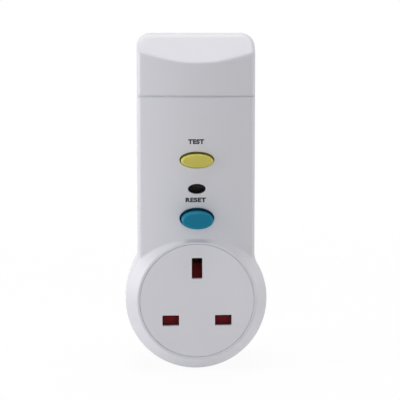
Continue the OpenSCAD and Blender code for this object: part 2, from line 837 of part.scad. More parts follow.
// Bar from a line pin to its fixed contact on the breaker's base
module in_bar(side) {
    foot_x = side * (bar_x0 + bar_w / 2);
    neck_x = side * (bar_x0 + bar_neck_w / 2);
    riser_x0 = contact_x - pad_w / 2;
    riser_x1 = bar_x0 + bar_neck_w;
    low_z = -row_drop - pin_t / 2;
    slab([foot_x, (bar_neck_z + low_z) / 2], [bar_w, bar_neck_z - low_z], bar_h, bar_h + bar_t);
    slab([neck_x, (riser_z + bar_neck_z - bar_gap) / 2], [bar_neck_w, riser_z - bar_neck_z + bar_gap],
        bar_h, bar_h + bar_t);
    slab([side * (riser_x0 + riser_x1) / 2, riser_z - bar_t / 2], [riser_x1 - riser_x0, bar_t],
        bar_h, pad_top);
    slab([side * contact_x, contact_low_z], [pad_w, low_pad_l], base_top, pad_top);
    post([side * contact_x, contact_low_z], rivet_r, pad_top - rivet_sink, pad_top + fixed_rivet_h);
}

module live_in_bar() color(copper) stand() in_bar(1);

module neutral_in_bar() color(copper) stand() in_bar(-1);

// Fixed contact whose tail turns up to meet the wire through the transformer
module out_bar(side) {
    outer = contact_x + pad_w / 2;
    inner = wire_x - wire_d / 2;
    low_z = contact_high_z - pad_w / 2;
    high_z = tail_z + tail_w;
    slab([side * contact_x, (low_z + high_z) / 2], [pad_w, high_z - low_z], base_top, pad_top);
    slab([side * (outer + inner) / 2, tail_z + tail_w / 2], [outer - inner, tail_w], base_top, pad_top);
    slab([side * wire_x, tail_z + tail_t / 2], [wire_d, tail_t], base_top, wire_h + wire_d / 2);
    post([side * contact_x, contact_high_z], rivet_r, pad_top - rivet_sink, pad_top + fixed_rivet_h);
}

module live_out_bar() color(copper) stand() out_bar(1);

module neutral_out_bar() color(copper) stand() out_bar(-1);

// Tube along a flat route, with mitred corners
lead_sides = 8;
module flat_tube(route, r) {
    last = len(route) - 1;
    headings = [for (i = [0:last - 1]) let (run = route[i + 1] - route[i]) atan2(run[1], run[0])];
    points = [for (i = [0:last], j = [0:lead_sides - 1])
        let (before = headings[max(i - 1, 0)], after = headings[min(i, last - 1)], b = 360 * j / lead_sides,
            reach = r * cos(b) / cos((after - before) / 2), side = (before + after) / 2 - 90)
        [route[i][0] + reach * cos(side), route[i][1] + reach * sin(side), r * sin(b)]];
    polyhedron(points, tube_faces(last + 1, lead_sides));
}

// Insulated wire of one line
module line_wire(side) {
    translate([0, 0, wire_h]) mirror([side < 0 ? 1 : 0, 0, 0]) flat_tube(wire_route, wire_d / 2);
}

module live_wire() color([0.40, 0.22, 0.12]) stand() line_wire(1);

module neutral_wire() color([0.12, 0.30, 0.62]) stand() line_wire(-1);

module sensing_core() color(steel) stand() translate([0, core_z - core_t / 2, wire_h]) rotate([-90, 0, 0])
    difference() {
        cylinder(r = core_r, h = core_t);
        translate([0, 0, -cut]) cylinder(r = core_bore, h = core_t + 2 * cut);
    }

// Path of the wire round the core's section: corners and mid sides in turn
winding_wire_r = 0.35;
winding_off = 0.45;
winding_sweep = 345;
winding_half = [(core_r - core_bore) / 2 + winding_off, core_t / 2 + winding_off];
winding_steps = [[1, 0], [1, 1], [0, 1], [-1, 1], [-1, 0], [-1, -1], [0, -1], [1, -1]];
function winding_point(i, reach) =
    let (step = winding_steps[i % turn_rings], a = winding_sweep * i / (winding_turns * turn_rings),
        r = (core_r + core_bore) / 2 + step[0] * (winding_half[0] + reach))
    [r * cos(a), r * sin(a), step[1] * (winding_half[1] + reach)];

module sensing_winding() color(copper) stand() translate([0, core_z, wire_h]) rotate([-90, 0, 0]) {
    rings = winding_turns * turn_rings;
    line = [for (i = [0:rings]) winding_point(i, 0)];
    echo(str("sensing winding least gap ", least_gap(line, winding_wire_r, turn_rings)));
    points = [for (i = [0:rings], j = [0:wire_sides - 1])
        let (b = 360 * j / wire_sides, a = winding_sweep * i / rings,
            around = [-sin(a), cos(a), 0] * winding_wire_r * sin(b))
        winding_point(i, winding_wire_r * cos(b)) + around];
    polyhedron(points, tube_faces(rings + 1, wire_sides), convexity = 10);
}

module mechanism_base() color(dark_moulding) stand() {
    lug_x = [for (s = [-1, 1]) -plunger_x + s * (lever_w / 2 + lug_gap + lug_t / 2)];
    difference() {
        slab([0, (base_low_z + base_high_z) / 2], [2 * plate_half, base_high_z - base_low_z],
            base_h, base_top);
        for (s = [-1, 1])
            slab([s * (contact_x - pad_w / 2 + bar_x0 + bar_neck_w) / 2, riser_z - bar_t / 2],
                [bar_x0 + bar_neck_w - contact_x + pad_w / 2 + 2 * tab_gap, bar_t + 2 * tab_gap],
                base_h - cut, base_top + cut);
    }
    for (s = [-1, 1]) post([s * guide_spot[0], guide_spot[1]], guide_r, base_top - cut, bridge_h);
    for (spot = column_spots) difference() {
        post(spot, column_r, base_top - cut, bridge_h);
        post(spot, bridge_screw_r + fit_gap, bridge_top - bridge_screw_l - pilot_end, bridge_h + cut);
    }
    for (x = lug_x) difference() {
        slab([x, lever_z], [lug_t, lug_l], base_top - cut, lever_h + lever_boss_r);
        rod_x(x - lug_t, x + lug_t, lever_z, lever_h, lever_pin_r);
    }
}

module mechanism_bridge() color(dark_moulding) stand() difference() {
    union() {
        slab([0, (base_low_z + bridge_high_z) / 2], [2 * plate_half, bridge_high_z - base_low_z],
            bridge_h, bridge_top);
        for (s = [-1, 1])
            slab([s * (ear_x + ear_t / 2), window_z], [ear_t, ear_w], bridge_top - cut, flag_h + ear_rise);
    }
    post([0, reset_z], reset_stem_r + stem_hole_gap, bridge_h - cut, bridge_top + cut);
    post([0, test_z], test_stem_r + stem_hole_gap, bridge_h - cut, bridge_top + cut);
    for (spot = column_spots) post(spot, bridge_screw_r + fit_gap, bridge_h - cut, bridge_top + cut);
    rod_x(-ear_x - ear_t - cut, ear_x + ear_t + cut, window_z, flag_h, spindle_r);
    rod_x(-ear_x, ear_x, window_z, flag_h, flag_hub_r + slide_gap);
    rod_x(-flag_web_half - slide_gap, flag_web_half + slide_gap, window_z, flag_h, flag_r + slide_gap);
}

module bridge_screws() color(steel) stand() for (spot = column_spots) difference() {
    union() {
        post(spot, bridge_screw_head_r, bridge_top, bridge_top + bridge_screw_head_h);
        post(spot, bridge_screw_r, bridge_top - bridge_screw_l, bridge_top + cut);
    }
    slab(spot, [2 * bridge_screw_head_r + cut, driver_slot], bridge_top + bridge_screw_head_h / 2,
        bridge_top + bridge_screw_head_h + cut);
}

module contact_carrier() color(pale_moulding) stand() difference() {
    union() {
        slab([0, (carrier_low_z + carrier_high_z) / 2], [2 * carrier_half, carrier_high_z - carrier_low_z],
            carrier_h, carrier_top);
        slab([-plunger_x, (carrier_high_z + ledge_z) / 2], [lever_w, ledge_z - carrier_high_z + 2 * weld],
            carrier_h, hook_h - fit_gap + carrier_travel);
    }
    for (s = [-1, 1])
        post([s * guide_spot[0], guide_spot[1]], guide_r + run_gap, carrier_h - cut, carrier_top + cut);
    rod_x(-ear_x, ear_x, window_z, flag_h, flag_hub_r + slide_gap);
}

// Bridging strip under the carrier with its two contact rivets
module moving_contact(side) {
    middle = (contact_low_z + contact_high_z) / 2;
    slab([side * contact_x, middle], [strip_w, contact_high_z - contact_low_z + 2 * strip_end],
        strip_h, carrier_h);
    for (z = [contact_low_z, contact_high_z])
        post([side * contact_x, z], rivet_r, strip_h - moving_rivet_h, strip_h + strip_t / 2);
}

module live_moving_contact() color(copper) stand() moving_contact(1);

module neutral_moving_contact() color(copper) stand() moving_contact(-1);

module opening_springs() color(steel) stand() for (s = [-1, 1])
    translate([s * guide_spot[0], guide_spot[1], base_top + fit_gap])
        coil("opening spring", guide_r + spring_room, spring_wire_r, carrier_h - base_top - 2 * fit_gap,
            opening_spring_turns);

// Oval button: cap, retaining flange behind the face and guide stem
module button(z, oval, proud, flange_h, stem_r, stem_end) {
    flange = [oval[0] + 2 * button_gap + 2 * button_flange_w, oval[1] + 2 * button_gap + button_flange_w];
    oval_post(z, oval, flange_h, apex_h + proud);
    oval_post(z, flange, flange_h, flange_h + button_flange_t);
    post([0, z], stem_r, stem_end, flange_h + cut);
}

module reset_button() color(button_blue) stand() {
    button(reset_z, [button_w, reset_button_h], reset_proud, reset_flange_h, reset_stem_r, reset_stem_end);
    slab([finger_x + finger_w / 2, reset_z + pusher_rise], [finger_w, pusher_t],
        reset_flange_h - pusher_drop, reset_flange_h + button_flange_t / 2);
}

module test_button() color(button_yellow) stand()
    button(test_z, [button_w, test_button_h], test_proud, test_flange_h, test_stem_r, test_stem_end);

module reset_spring() color(steel) stand() translate([0, reset_z, bridge_top + fit_gap])
    coil("reset spring", reset_stem_r + spring_room, reset_wire_r,
        reset_flange_h - bridge_top - 2 * fit_gap, reset_spring_turns);

module test_spring() color(steel) stand() translate([0, test_z, bridge_top + fit_gap])
    coil("test spring", test_stem_r + spring_room, spring_wire_r,
        test_flange_h - bridge_top - 2 * fit_gap, test_spring_turns);

module test_contact() color(brass) stand() {
    foot_z = test_z + leaf_reach;
    leaf_base = leaf_top - leaf_t;
    foot_top = board_top_h + leaf_t;
    across(-leaf_half, leaf_half, [[foot_z + leaf_foot, board_top_h], [foot_z + leaf_foot, foot_top],
        [foot_z + leaf_t / 2, foot_top], [test_z + leaf_end + leaf_t / 2, leaf_top],
        [test_z - leaf_end, leaf_top], [test_z - leaf_end, leaf_base],
        [test_z + leaf_end, leaf_base], [foot_z, board_top_h]]);
    post([0, test_z], stud_r, board_top_h, leaf_base - test_travel);
}

// Stretch of shell round the flag's axis, between two radii and two angles
module flag_arc(half, r0, r1, from, to) {
    translate([-half, window_z, flag_h]) rotate([90, 0, 90]) rotate(from)
        rotate_extrude(angle = to - from, $fn = 96) translate([r0, 0]) square([r1 - r0, 2 * half]);
}

module indicator_flag() color(dark_moulding) stand() {
    inner_r = flag_r - flag_shell;
    difference() {
        union() {
            flag_arc(flag_half, inner_r, flag_r, flag_high_angle, flag_low_angle);
            flag_arc(flag_web_half, (spindle_r + flag_hub_r) / 2, inner_r + flag_shell / 4,
                flag_high_angle + flag_web_in, flag_low_angle - 2 * flag_web_in);
            rod_x(-flag_half - flag_hub_end, flag_half + flag_hub_end, window_z, flag_h, flag_hub_r);
            translate([finger_x, window_z, flag_h]) rotate([finger_angle, 0, 0])
                translate([0, inner_r, -finger_t / 2]) cube([finger_w, finger_r - inner_r, finger_t]);
        }
        flag_arc(flag_half + cut, flag_r - flag_paint, flag_r + cut, flag_high_angle - flag_web_in,
            flag_red_angle);
        rod_x(-body_w, body_w, window_z, flag_h, spindle_r + run_gap);
    }
}

module flag_red_face() color(shutter_red) stand()
    flag_arc(flag_half, flag_r - flag_paint, flag_r, flag_high_angle, flag_red_angle);

module flag_spindle() color(steel) stand()
    rod_x(-ear_x - ear_t, ear_x + ear_t, window_z, flag_h, spindle_r);

module coil_yoke() color(steel) stand() difference() {
    union() {
        slab([-plunger_x, yoke_z + yoke_l / 2], [yoke_w, yoke_l], board_top_h, board_top_h + yoke_t);
        for (z = [yoke_z + yoke_t / 2, yoke_z + yoke_l - yoke_t / 2])
            slab([-plunger_x, z], [yoke_w, yoke_t], board_top_h, yoke_top);
    }
    rod_z(-plunger_x, yoke_z - cut, yoke_z + yoke_t + cut, plunger_h, neck_r + slide_gap);
}

module coil_bobbin() color(pale_moulding) stand() {
    low = yoke_z + yoke_t + fit_gap;
    high = yoke_z + yoke_l - yoke_t - fit_gap;
    difference() {
        union() {
            rod_z(-plunger_x, low, high, plunger_h, bobbin_r);
            for (z = [low, high - bobbin_flange_t])
                rod_z(-plunger_x, z, z + bobbin_flange_t, plunger_h, coil_r + bobbin_lip);
        }
        rod_z(-plunger_x, low - cut, high + cut, plunger_h, plunger_r + run_gap);
    }
}

module trip_coil() color(copper) stand() {
    low = yoke_z + yoke_t + 2 * fit_gap + bobbin_flange_t;
    high = yoke_z + yoke_l - yoke_t - 2 * fit_gap - bobbin_flange_t;
    difference() {
        rod_z(-plunger_x, low, high, plunger_h, coil_r);
        rod_z(-plunger_x, low - cut, high + cut, plunger_h, bobbin_r + fit_gap / 2);
    }
}

// Lower face of the plunger's end collar, which pulls the trip lever
collar_z = lever_z - lever_t / 2 - slide_gap;

module plunger() color(steel) stand() {
    body_low = yoke_z + yoke_t + plunger_seat;
    washer_z = yoke_z - plunger_spring_l;
    body_high = yoke_z + yoke_l - yoke_t - plunger_travel - plunger_end_gap;
    rod_z(-plunger_x, body_low, body_high, plunger_h, plunger_r);
    rod_z(-plunger_x, collar_z - collar_t, body_low + cut, plunger_h, neck_r);
    rod_z(-plunger_x, collar_z - collar_t, collar_z, plunger_h, collar_r);
    rod_z(-plunger_x, washer_z - washer_t, washer_z, plunger_h, washer_r);
}

module plunger_spring() color(steel) stand()
    translate([-plunger_x, yoke_z - plunger_spring_l + fit_gap, plunger_h]) rotate([-90, 0, 0])
        coil("plunger spring", neck_r + spring_room, plunger_wire_r, plunger_spring_l - 2 * fit_gap,
            plunger_spring_turns);

module trip_lever() color(dark_moulding) stand() difference() {
    union() {
        slab([-plunger_x, lever_z], [lever_w, lever_t], lever_h, lever_top);
        rod_x(-plunger_x - lever_w / 2, -plunger_x + lever_w / 2, lever_z, lever_h, lever_boss_r);
        slab([-plunger_x, (ledge_z + hook_gap + lever_z) / 2], [lever_w, lever_z - ledge_z - hook_gap],
            hook_h, lever_top);
    }
    slab([-plunger_x, lever_z], [2 * (neck_r + slide_gap), 2 * lever_w],
        plunger_h - collar_r - slide_gap, lever_top + cut);
    rod_x(-plunger_x - lever_w, -plunger_x + lever_w, lever_z, lever_h, lever_pin_r + run_gap);
}

module lever_pin() color(steel) stand() {
    reach = lever_w / 2 + lug_gap + lug_t;
    rod_x(-plunger_x - reach, -plunger_x + reach, lever_z, lever_h, lever_pin_r);
}

module circuit_board() color([0.12, 0.35, 0.20]) stand()
    slab([0, (board_low_z + board_high_z) / 2], [2 * plate_half, board_high_z - board_low_z],
        board_h, board_top_h);

module control_chip() color(dark_moulding) stand() {
    spot = [chip_x, chip_z];
    size = [chip_w, chip_l];
    low = board_top_h + chip_lift;
    high = low + chip_t;
    leg = [leg_w, leg_l];
    slab(spot, size, low, high);
    for (s = [-1, 1], i = [-1.5:1.5])
        slab([spot[0] + leg_pitch * i, spot[1] + s * (size[1] / 2 + leg[1] / 2 - leg_in)], leg,
            board_top_h, (low + high) / 2);
}

module electrolytic_capacitor() color([0.15, 0.18, 0.30]) stand() {
    post([can_x, can_z], can_r, board_top_h, board_top_h + can_l);
}

module film_capacitor() color([0.75, 0.62, 0.20]) stand() {
    slab([film_x, film_z], [film_w, film_t], board_top_h, board_top_h + film_h);
}

module varistor() color([0.20, 0.35, 0.60]) stand() {
    spot = [varistor_x, varistor_z];
    disc_half = varistor_t / 2;
    stand_off = varistor_lift;
    lead_r = varistor_lead_r;
    lead_x = varistor_r / 2;
    mid_h = board_top_h + stand_off + varistor_r;
    rod_z(spot[0], spot[1] - disc_half, spot[1] + disc_half, mid_h, varistor_r);
    for (s = [-1, 1]) post([spot[0] + s * lead_x, spot[1]], lead_r, board_top_h, mid_h - lead_x);
}

// Small part lying across the width on two flat leads bent down to the board
module axial_part(spot, r, l) {
    lead = axial_lead;
    lead_out = axial_lead_out;
    mid_h = board_top_h + r + axial_lift;
    reach = l / 2 + lead_out;
    rod_x(spot[0] - l / 2, spot[0] + l / 2, spot[1], mid_h, r);
    for (s = [-1, 1]) {
        slab([spot[0] + s * (l / 2 + reach) / 2, spot[1]], [lead_out + lead, lead],
            mid_h - lead / 2, mid_h + lead / 2);
        slab([spot[0] + s * reach, spot[1]], [lead, lead], board_top_h, mid_h + lead / 2);
    }
}

module resistors() color([0.70, 0.58, 0.42]) stand()
    for (i = [0:2])
        axial_part([-resistor_x, yoke_z - resistor_gap - i * resistor_pitch], resistor_r, resistor_l);

module diodes() color(dark_moulding) stand()
    for (i = [0:1]) axial_part([i * diode_pitch - diode_x, board_high_z - diode_in], diode_r, diode_l);

front_cover();
rear_cover();
casing_screws();
socket_face();
indicator_window();
live_pin();
neutral_pin();
earth_pin();
pin_sleeves();
contact_block();
live_socket_contact();
neutral_socket_contact();
earth_socket_contact();
shutter();
shutter_spring();
live_in_bar();
neutral_in_bar();
live_out_bar();
neutral_out_bar();
live_wire();
neutral_wire();
sensing_core();
sensing_winding();
mechanism_base();
mechanism_bridge();
bridge_screws();
contact_carrier();
live_moving_contact();
neutral_moving_contact();
opening_springs();
reset_button();
reset_spring();
test_button();
test_spring();
test_contact();
indicator_flag();
flag_red_face();
flag_spindle();
coil_yoke();
coil_bobbin();
trip_coil();
plunger();
plunger_spring();
trip_lever();
lever_pin();
circuit_board();
control_chip();
electrolytic_capacitor();
film_capacitor();
varistor();
resistors();
diodes();
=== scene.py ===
import math

import bmesh
import bpy
import numpy as np
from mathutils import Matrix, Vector
from mathutils.geometry import delaunay_2d_cdt


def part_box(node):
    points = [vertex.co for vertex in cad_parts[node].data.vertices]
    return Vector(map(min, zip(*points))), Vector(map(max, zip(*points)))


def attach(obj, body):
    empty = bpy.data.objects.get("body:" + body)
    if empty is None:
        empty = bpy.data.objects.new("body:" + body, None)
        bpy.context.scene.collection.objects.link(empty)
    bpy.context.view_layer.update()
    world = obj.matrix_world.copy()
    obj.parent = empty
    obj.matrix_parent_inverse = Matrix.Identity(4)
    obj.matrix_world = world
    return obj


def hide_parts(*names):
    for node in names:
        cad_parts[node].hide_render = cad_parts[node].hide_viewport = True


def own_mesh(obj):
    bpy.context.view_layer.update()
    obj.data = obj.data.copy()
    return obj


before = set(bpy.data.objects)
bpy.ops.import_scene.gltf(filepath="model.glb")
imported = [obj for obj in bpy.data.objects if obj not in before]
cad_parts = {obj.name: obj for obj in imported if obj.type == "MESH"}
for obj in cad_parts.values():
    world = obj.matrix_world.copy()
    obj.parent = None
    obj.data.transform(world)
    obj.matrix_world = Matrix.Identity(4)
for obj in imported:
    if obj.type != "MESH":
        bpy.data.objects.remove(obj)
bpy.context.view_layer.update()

# Rear cover: the deep tray that carries the pins and the works, moulded in the same white plastic as the
# front. It steps in below the seam and tapers to its rounded rear edges, and four screws go in from behind.
BODY_HALF = 24.8
BODY_TOP = 112.3
CORNER_R = 5.5
RING_R = 30.0
FLARE_R = 9.0
FLARE_Z = math.sqrt((RING_R + FLARE_R) ** 2 - (BODY_HALF + FLARE_R) ** 2)
SEAM_H = 26.0
REAR_STEP = 0.6
REAR_TAPER = 0.8
REAR_BEND = 2.2
REAR_FLAT_IN = 2.3
LIP_EASE = 0.2
CAVITY_INSET = 3.1
LIP_INSET = 2.3
LIP_TOP_H = 27.5
FLOOR_H = 2.4
BOSS_R = 3.6
BOSS_TOP_H = 14.0
BOSS_CLEAR = 0.05
HEAD_WALL = 0.6
HEAD_SEAT_H = 10.0
SHANK_WALL = 1.95
MOUTH_WALL = 0.35
SCREW_SPOTS = [(-18.4, 27.0), (18.4, 27.0), (-18.4, 104.5), (18.4, 104.5)]
FULL_TURN = np.linspace(0, 2 * np.pi, 97)
SHELL_COLOUR = (0.600, 0.600, 0.640)


def stand(x, z, h):
    """Points in metres from distances in millimetres: x across, z up and h out from the wall."""
    x, z, h = np.broadcast_arrays(np.asarray(x, float), np.asarray(z, float), np.asarray(h, float))
    return np.stack([x, -h, z], axis=-1) * 0.001


def case_outline(inset):
    """Outline of the casing drawn in by an inset: the round end's arc, the hollow arc that runs it into the
    straight side, that side and a corner's quarter circle, then the same points mirrored, back down."""
    big, half, top, bend = RING_R - inset, BODY_HALF - inset, BODY_TOP - inset, CORNER_R - inset
    meet = math.asin(FLARE_Z / (RING_R + FLARE_R))
    low = np.linspace(-np.pi / 2, meet, 49)
    hollow = np.linspace(np.pi + meet, np.pi, 13)[1:]
    side = np.linspace(FLARE_Z, top - bend, 25)[1:-1]
    high = np.linspace(0, np.pi / 2, 13)
    right = np.concatenate([
        np.stack([big * np.cos(low), big * np.sin(low)], -1),
        np.stack([BODY_HALF + FLARE_R + (FLARE_R + inset) * np.cos(hollow),
                  FLARE_Z + (FLARE_R + inset) * np.sin(hollow)], -1),
        np.stack([np.full(side.shape, half), side], -1),
        np.stack([half - bend + bend * np.cos(high), top - bend + bend * np.sin(high)], -1)])
    return np.concatenate([right, right[::-1] * (-1, 1)])


def ring_outline(centre, radius):
    """Circle of a radius less the inset, about a centre."""
    return lambda inset: np.stack([centre[0] + (radius - inset) * np.cos(FULL_TURN),
                                   centre[1] + (radius - inset) * np.sin(FULL_TURN)], -1)


def boss_outline(spot):
    """Circle round a screw, less the inset and cut off straight where it would run into the side wall."""
    reach = BODY_HALF - CAVITY_INSET - BOSS_CLEAR
    ring = ring_outline(spot, BOSS_R)
    return lambda inset: np.clip(ring(inset), (-reach, -BODY_TOP), (reach, BODY_TOP))


def round_off(corners, cuts, steps=7):
    """A profile with rounded corners: each corner gives way to a parabola that leaves both sides at its
    cut distance."""
    corners = np.array(corners, float)
    t = np.linspace(0, 1, steps)[:, None]
    path = []
    for before, corner, after, cut in zip(np.roll(corners, 1, 0), corners, np.roll(corners, -1, 0), cuts):
        if cut == 0:
            path.append(corner[None])
            continue
        start = corner + (before - corner) * cut / np.linalg.norm(before - corner)
        end = corner + (after - corner) * cut / np.linalg.norm(after - corner)
        path.append((1 - t) ** 2 * start + 2 * t * (1 - t) * corner + t ** 2 * end)
    return np.concatenate(path)


def carry(outline, profile):
    """Surface swept round an outline: each (inset, height) of the profile gives one loop drawn in by that
    inset."""
    return np.stack([stand(*outline(inset).T, h) for inset, h in profile])


def flat_cap(loops, h):
    """Flat face at one height inside the first closed loop of (x, z) points, with the other loops left as
    holes."""
    same_spot = 1e-7
    corners, rims = [], []
    for loop in loops:
        rims.append(list(range(len(corners), len(corners) + len(loop) - 1)))
        corners += [Vector(point) for point in loop[:-1]]
    made, _, triangles, _, _, owners = delaunay_2d_cdt(corners, [], rims, 1, same_spot)
    flat = np.array([tuple(corner) for corner in made])
    solid = [triangle for triangle, owner in zip(triangles, owners) if list(owner) == [0]]
    return stand(flat[:, 0], flat[:, 1], h), np.array(solid)


def make_piece(name, grids, caps=(), wall=0.0):
    """One smooth object from grids of points, whose neighbours make quads, and flat caps of points and
    triangles. Touching points are merged and faces turned outwards; an open skin is thickened inwards."""
    touching, sharp = 2e-6, math.radians(38)
    points, faces, first = [], [], 0
    for grid in grids:
        index = first + np.arange(grid.shape[0] * grid.shape[1]).reshape(grid.shape[:2])
        quads = np.stack([index[:-1, :-1], index[:-1, 1:], index[1:, 1:], index[1:, :-1]], -1)
        faces += quads.reshape(-1, 4).tolist()
        points.append(grid.reshape(-1, 3))
        first += index.size
    for corners, triangles in caps:
        faces += (triangles + first).tolist()
        points.append(corners)
        first += len(corners)
    mesh = bpy.data.meshes.new(name)
    mesh.from_pydata(np.concatenate(points).tolist(), [], faces)
    work = bmesh.new()
    work.from_mesh(mesh)
    bmesh.ops.remove_doubles(work, verts=work.verts, dist=touching)
    bmesh.ops.recalc_face_normals(work, faces=work.faces)
    work.to_mesh(mesh)
    work.free()
    piece = bpy.data.objects.new(name, mesh)
    bpy.context.collection.objects.link(piece)
    if wall:
        thick = piece.modifiers.new("wall", "SOLIDIFY")
        thick.thickness = wall * 0.001
        thick.offset = -1
        piece.data = bpy.data.meshes.new_from_object(
            piece.evaluated_get(bpy.context.evaluated_depsgraph_get()))
        piece.modifiers.clear()
    piece.data.shade_smooth()
    piece.data.set_sharp_from_angle(angle=sharp)
    return piece


class Link:
    """An output in a material's node tree. Arithmetic on it adds Math nodes, and other() adds any node."""

    def __init__(self, socket):
        self.socket = socket
        self.tree = socket.id_data

    def other(self, kind, sockets, output=0, **settings):
        """A new node of a kind: its settings are set first, then its sockets by number or name."""
        node = self.tree.nodes.new("ShaderNode" + kind)
        for key, value in settings.items():
            setattr(node, key, value)
        for key, value in sockets.items():
            if isinstance(value, Link):
                self.tree.links.new(value.socket, node.inputs[key])
            else:
                node.inputs[key].default_value = value
        return Link(node.outputs[output])

    def __add__(self, value):
        return self.other("Math", {0: self, 1: value}, operation="ADD")

    def __mul__(self, value):
        return self.other("Math", {0: self, 1: value}, operation="MULTIPLY")

    def __sub__(self, value):
        return self.other("Math", {0: self, 1: value}, operation="SUBTRACT")

    def __rsub__(self, value):
        return self.other("Math", {0: value, 1: self}, operation="SUBTRACT")

    __radd__ = __add__
    __rmul__ = __mul__

    def noise(self, scale, detail=2.0):
        """Noise about one half, at so many spots to the metre."""
        return self.other("TexNoise", {"Vector": self, "Scale": scale, "Detail": detail})

    def mix(self, low, high):
        """Colour that goes from low to high as this value goes from 0 to 1."""
        return self.other("Mix", {0: self, 6: (*low, 1), 7: (*high, 1)}, output=2, data_type="RGBA")

    def stretch(self, x, y, z):
        """Coordinates scaled along each axis."""
        return self.other("VectorMath", {0: self, 1: (x, y, z)}, operation="MULTIPLY")

    def bump(self, depth, strength):
        """Surface normal dented by this height, whose full range is a depth in millimetres."""
        return self.other("Bump", {"Height": self, "Distance": depth * 0.001, "Strength": strength})


def new_finish(name, **settings):
    """A material, a function that feeds one of its surface's inputs, and the coordinates that its patterns
    are laid on."""
    material = bpy.data.materials.new(name)
    material.use_nodes = True
    tree = material.node_tree
    surface = tree.nodes["Principled BSDF"]
    for key, value in settings.items():
        surface.inputs[key.replace("_", " ")].default_value = value
    place = Link(tree.nodes.new("ShaderNodeTexCoord").outputs["Object"])
    return material, lambda key, link: tree.links.new(link.socket, surface.inputs[key]), place


def plastic(name, colour, roughness, shade=0.03, grain=0.004, **settings):
    """Moulded plastic: the colour drifts over several millimetres, and a fine eroded grain dents and
    roughens it."""
    drift_spots, grain_spots, gloss_range = 70.0, 2600.0, 0.08
    material, feed, place = new_finish(name, **settings)
    fine = place.noise(grain_spots)
    tone = place.noise(drift_spots) * 0.7 + fine * 0.3
    dark, pale = ([c * (1 + s) for c in colour] for s in (-shade, shade))
    feed("Base Color", tone.mix(dark, pale))
    feed("Roughness", fine * gloss_range + (roughness - gloss_range / 2))
    feed("Normal", fine.bump(grain, 0.5))
    return material


def hand_in(piece, body, slot, material, *nodes):
    """Gives a new piece its finish and the body it moves with, and hides the nodes it stands for. The slot is
    not used.
    """
    piece.data.materials.append(material)
    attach(piece, body)
    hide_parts(*nodes)


shell_plastic = plastic("shell plastic", SHELL_COLOUR, 0.42)
rear_plastic = plastic("rear plastic", SHELL_COLOUR, 0.45)

tray = round_off(
    [(CAVITY_INSET, FLOOR_H), (CAVITY_INSET, LIP_TOP_H), (LIP_INSET, LIP_TOP_H), (LIP_INSET, SEAM_H),
     (REAR_STEP, SEAM_H), (REAR_STEP + REAR_TAPER, 0), (REAR_STEP + REAR_TAPER + REAR_FLAT_IN, 0)],
    [0, LIP_EASE, LIP_EASE, 0, LIP_EASE, REAR_BEND, 0])
bosses = [boss_outline(spot) for spot in SCREW_SPOTS]
boss = round_off(
    [(MOUTH_WALL, 0), (HEAD_WALL, 0), (HEAD_WALL, HEAD_SEAT_H), (SHANK_WALL, HEAD_SEAT_H),
     (SHANK_WALL, BOSS_TOP_H), (0, BOSS_TOP_H), (0, FLOOR_H)],
    [0, 0.2, 0, 0, 0, 0.3, 0])
rear = make_piece(
    "rear_tray", [carry(case_outline, tray)] + [carry(ring, boss) for ring in bosses],
    [flat_cap([case_outline(tray[-1][0])] + [ring(boss[0][0]) for ring in bosses], 0),
     flat_cap([case_outline(tray[0][0])] + [ring(0) for ring in bosses], FLOOR_H)])
hand_in(rear, "casing", "rear_white", rear_plastic, "rear_cover")

# Pins: solid brass bars with eased corners and tapered tips, pressed into the rear tray through its floor.
# The two line pins are necked for black moulded sleeves that keep fingers off the metal of a half-drawn plug.
LINE_X = 11.115
LINE_Z = -8.42
EARTH_Z = 13.81
PIN_T = 3.97
PIN_CORNER = 0.7
LINE_PIN_W = 6.35
LINE_PIN_L = 17.7
LINE_TAIL_H = 6.0
EARTH_PIN_W = 7.92
EARTH_PIN_L = 22.7
EARTH_TAIL_H = 17.0
EARTH_TAIL_IN = 0.5
SHOULDER_OUT = 1.3
SHOULDER_H = 4.4
SLEEVE_L = 9.5
SLEEVE_T = 0.5
SLEEVE_EASE = 0.15
TIP_L = 1.4
TIP_IN = 0.7
TIP_FLAT_IN = 1.3
TIP_EASES = [0.7, 0.4]


def block_outline(centre, width, height, corner, least=0.05):
    """Rectangle with quarter circles at its corners, no smaller than the least, drawn in by the inset."""
    turn = np.arange(4)[:, None] * np.pi / 2 + np.linspace(0, np.pi / 2, 7)
    side_x, side_z = np.array([[1, -1, -1, 1], [1, 1, -1, -1]])[:, :, None]

    def outline(inset):
        bend = max(corner - inset, least)
        x = centre[0] + side_x * (width / 2 - inset - bend) + bend * np.cos(turn)
        z = centre[1] + side_z * (height / 2 - inset - bend) + bend * np.sin(turn)
        loop = np.stack([x.ravel(), z.ravel()], -1)
        return np.concatenate([loop, loop[:1]])
    return outline


def make_lump(name, outline, profile):
    """Closed piece: the profile carried round the outline, with a flat cap at each end."""
    ends = [flat_cap([outline(inset)], h) for inset, h in (profile[0], profile[-1])]
    return make_piece(name, [carry(outline, profile)], ends)


def brushed_metal(name, colour, roughness, streak=(900.0, 60.0, 900.0)):
    """Drawn metal: long fine streaks along the bar change its colour and its polish a little."""
    stain_spots, gloss_range = 180.0, 0.2
    material, feed, place = new_finish(name, Metallic=1.0)
    streaks = place.stretch(*streak).noise(1.0, 3.0)
    stain = place.noise(stain_spots)
    dark, pale = [c * 0.86 for c in colour], [min(c * 1.06, 1) for c in colour]
    feed("Base Color", (streaks * 0.5 + stain * 0.5).mix(dark, pale))
    feed("Roughness", streaks * gloss_range + (roughness - gloss_range / 2))
    feed("Normal", streaks.bump(0.003, 0.4))
    return material


brass = brushed_metal("brass", (0.72, 0.52, 0.24), 0.32)
sleeve_plastic = plastic("sleeve plastic", (0.016, 0.016, 0.018), 0.45)

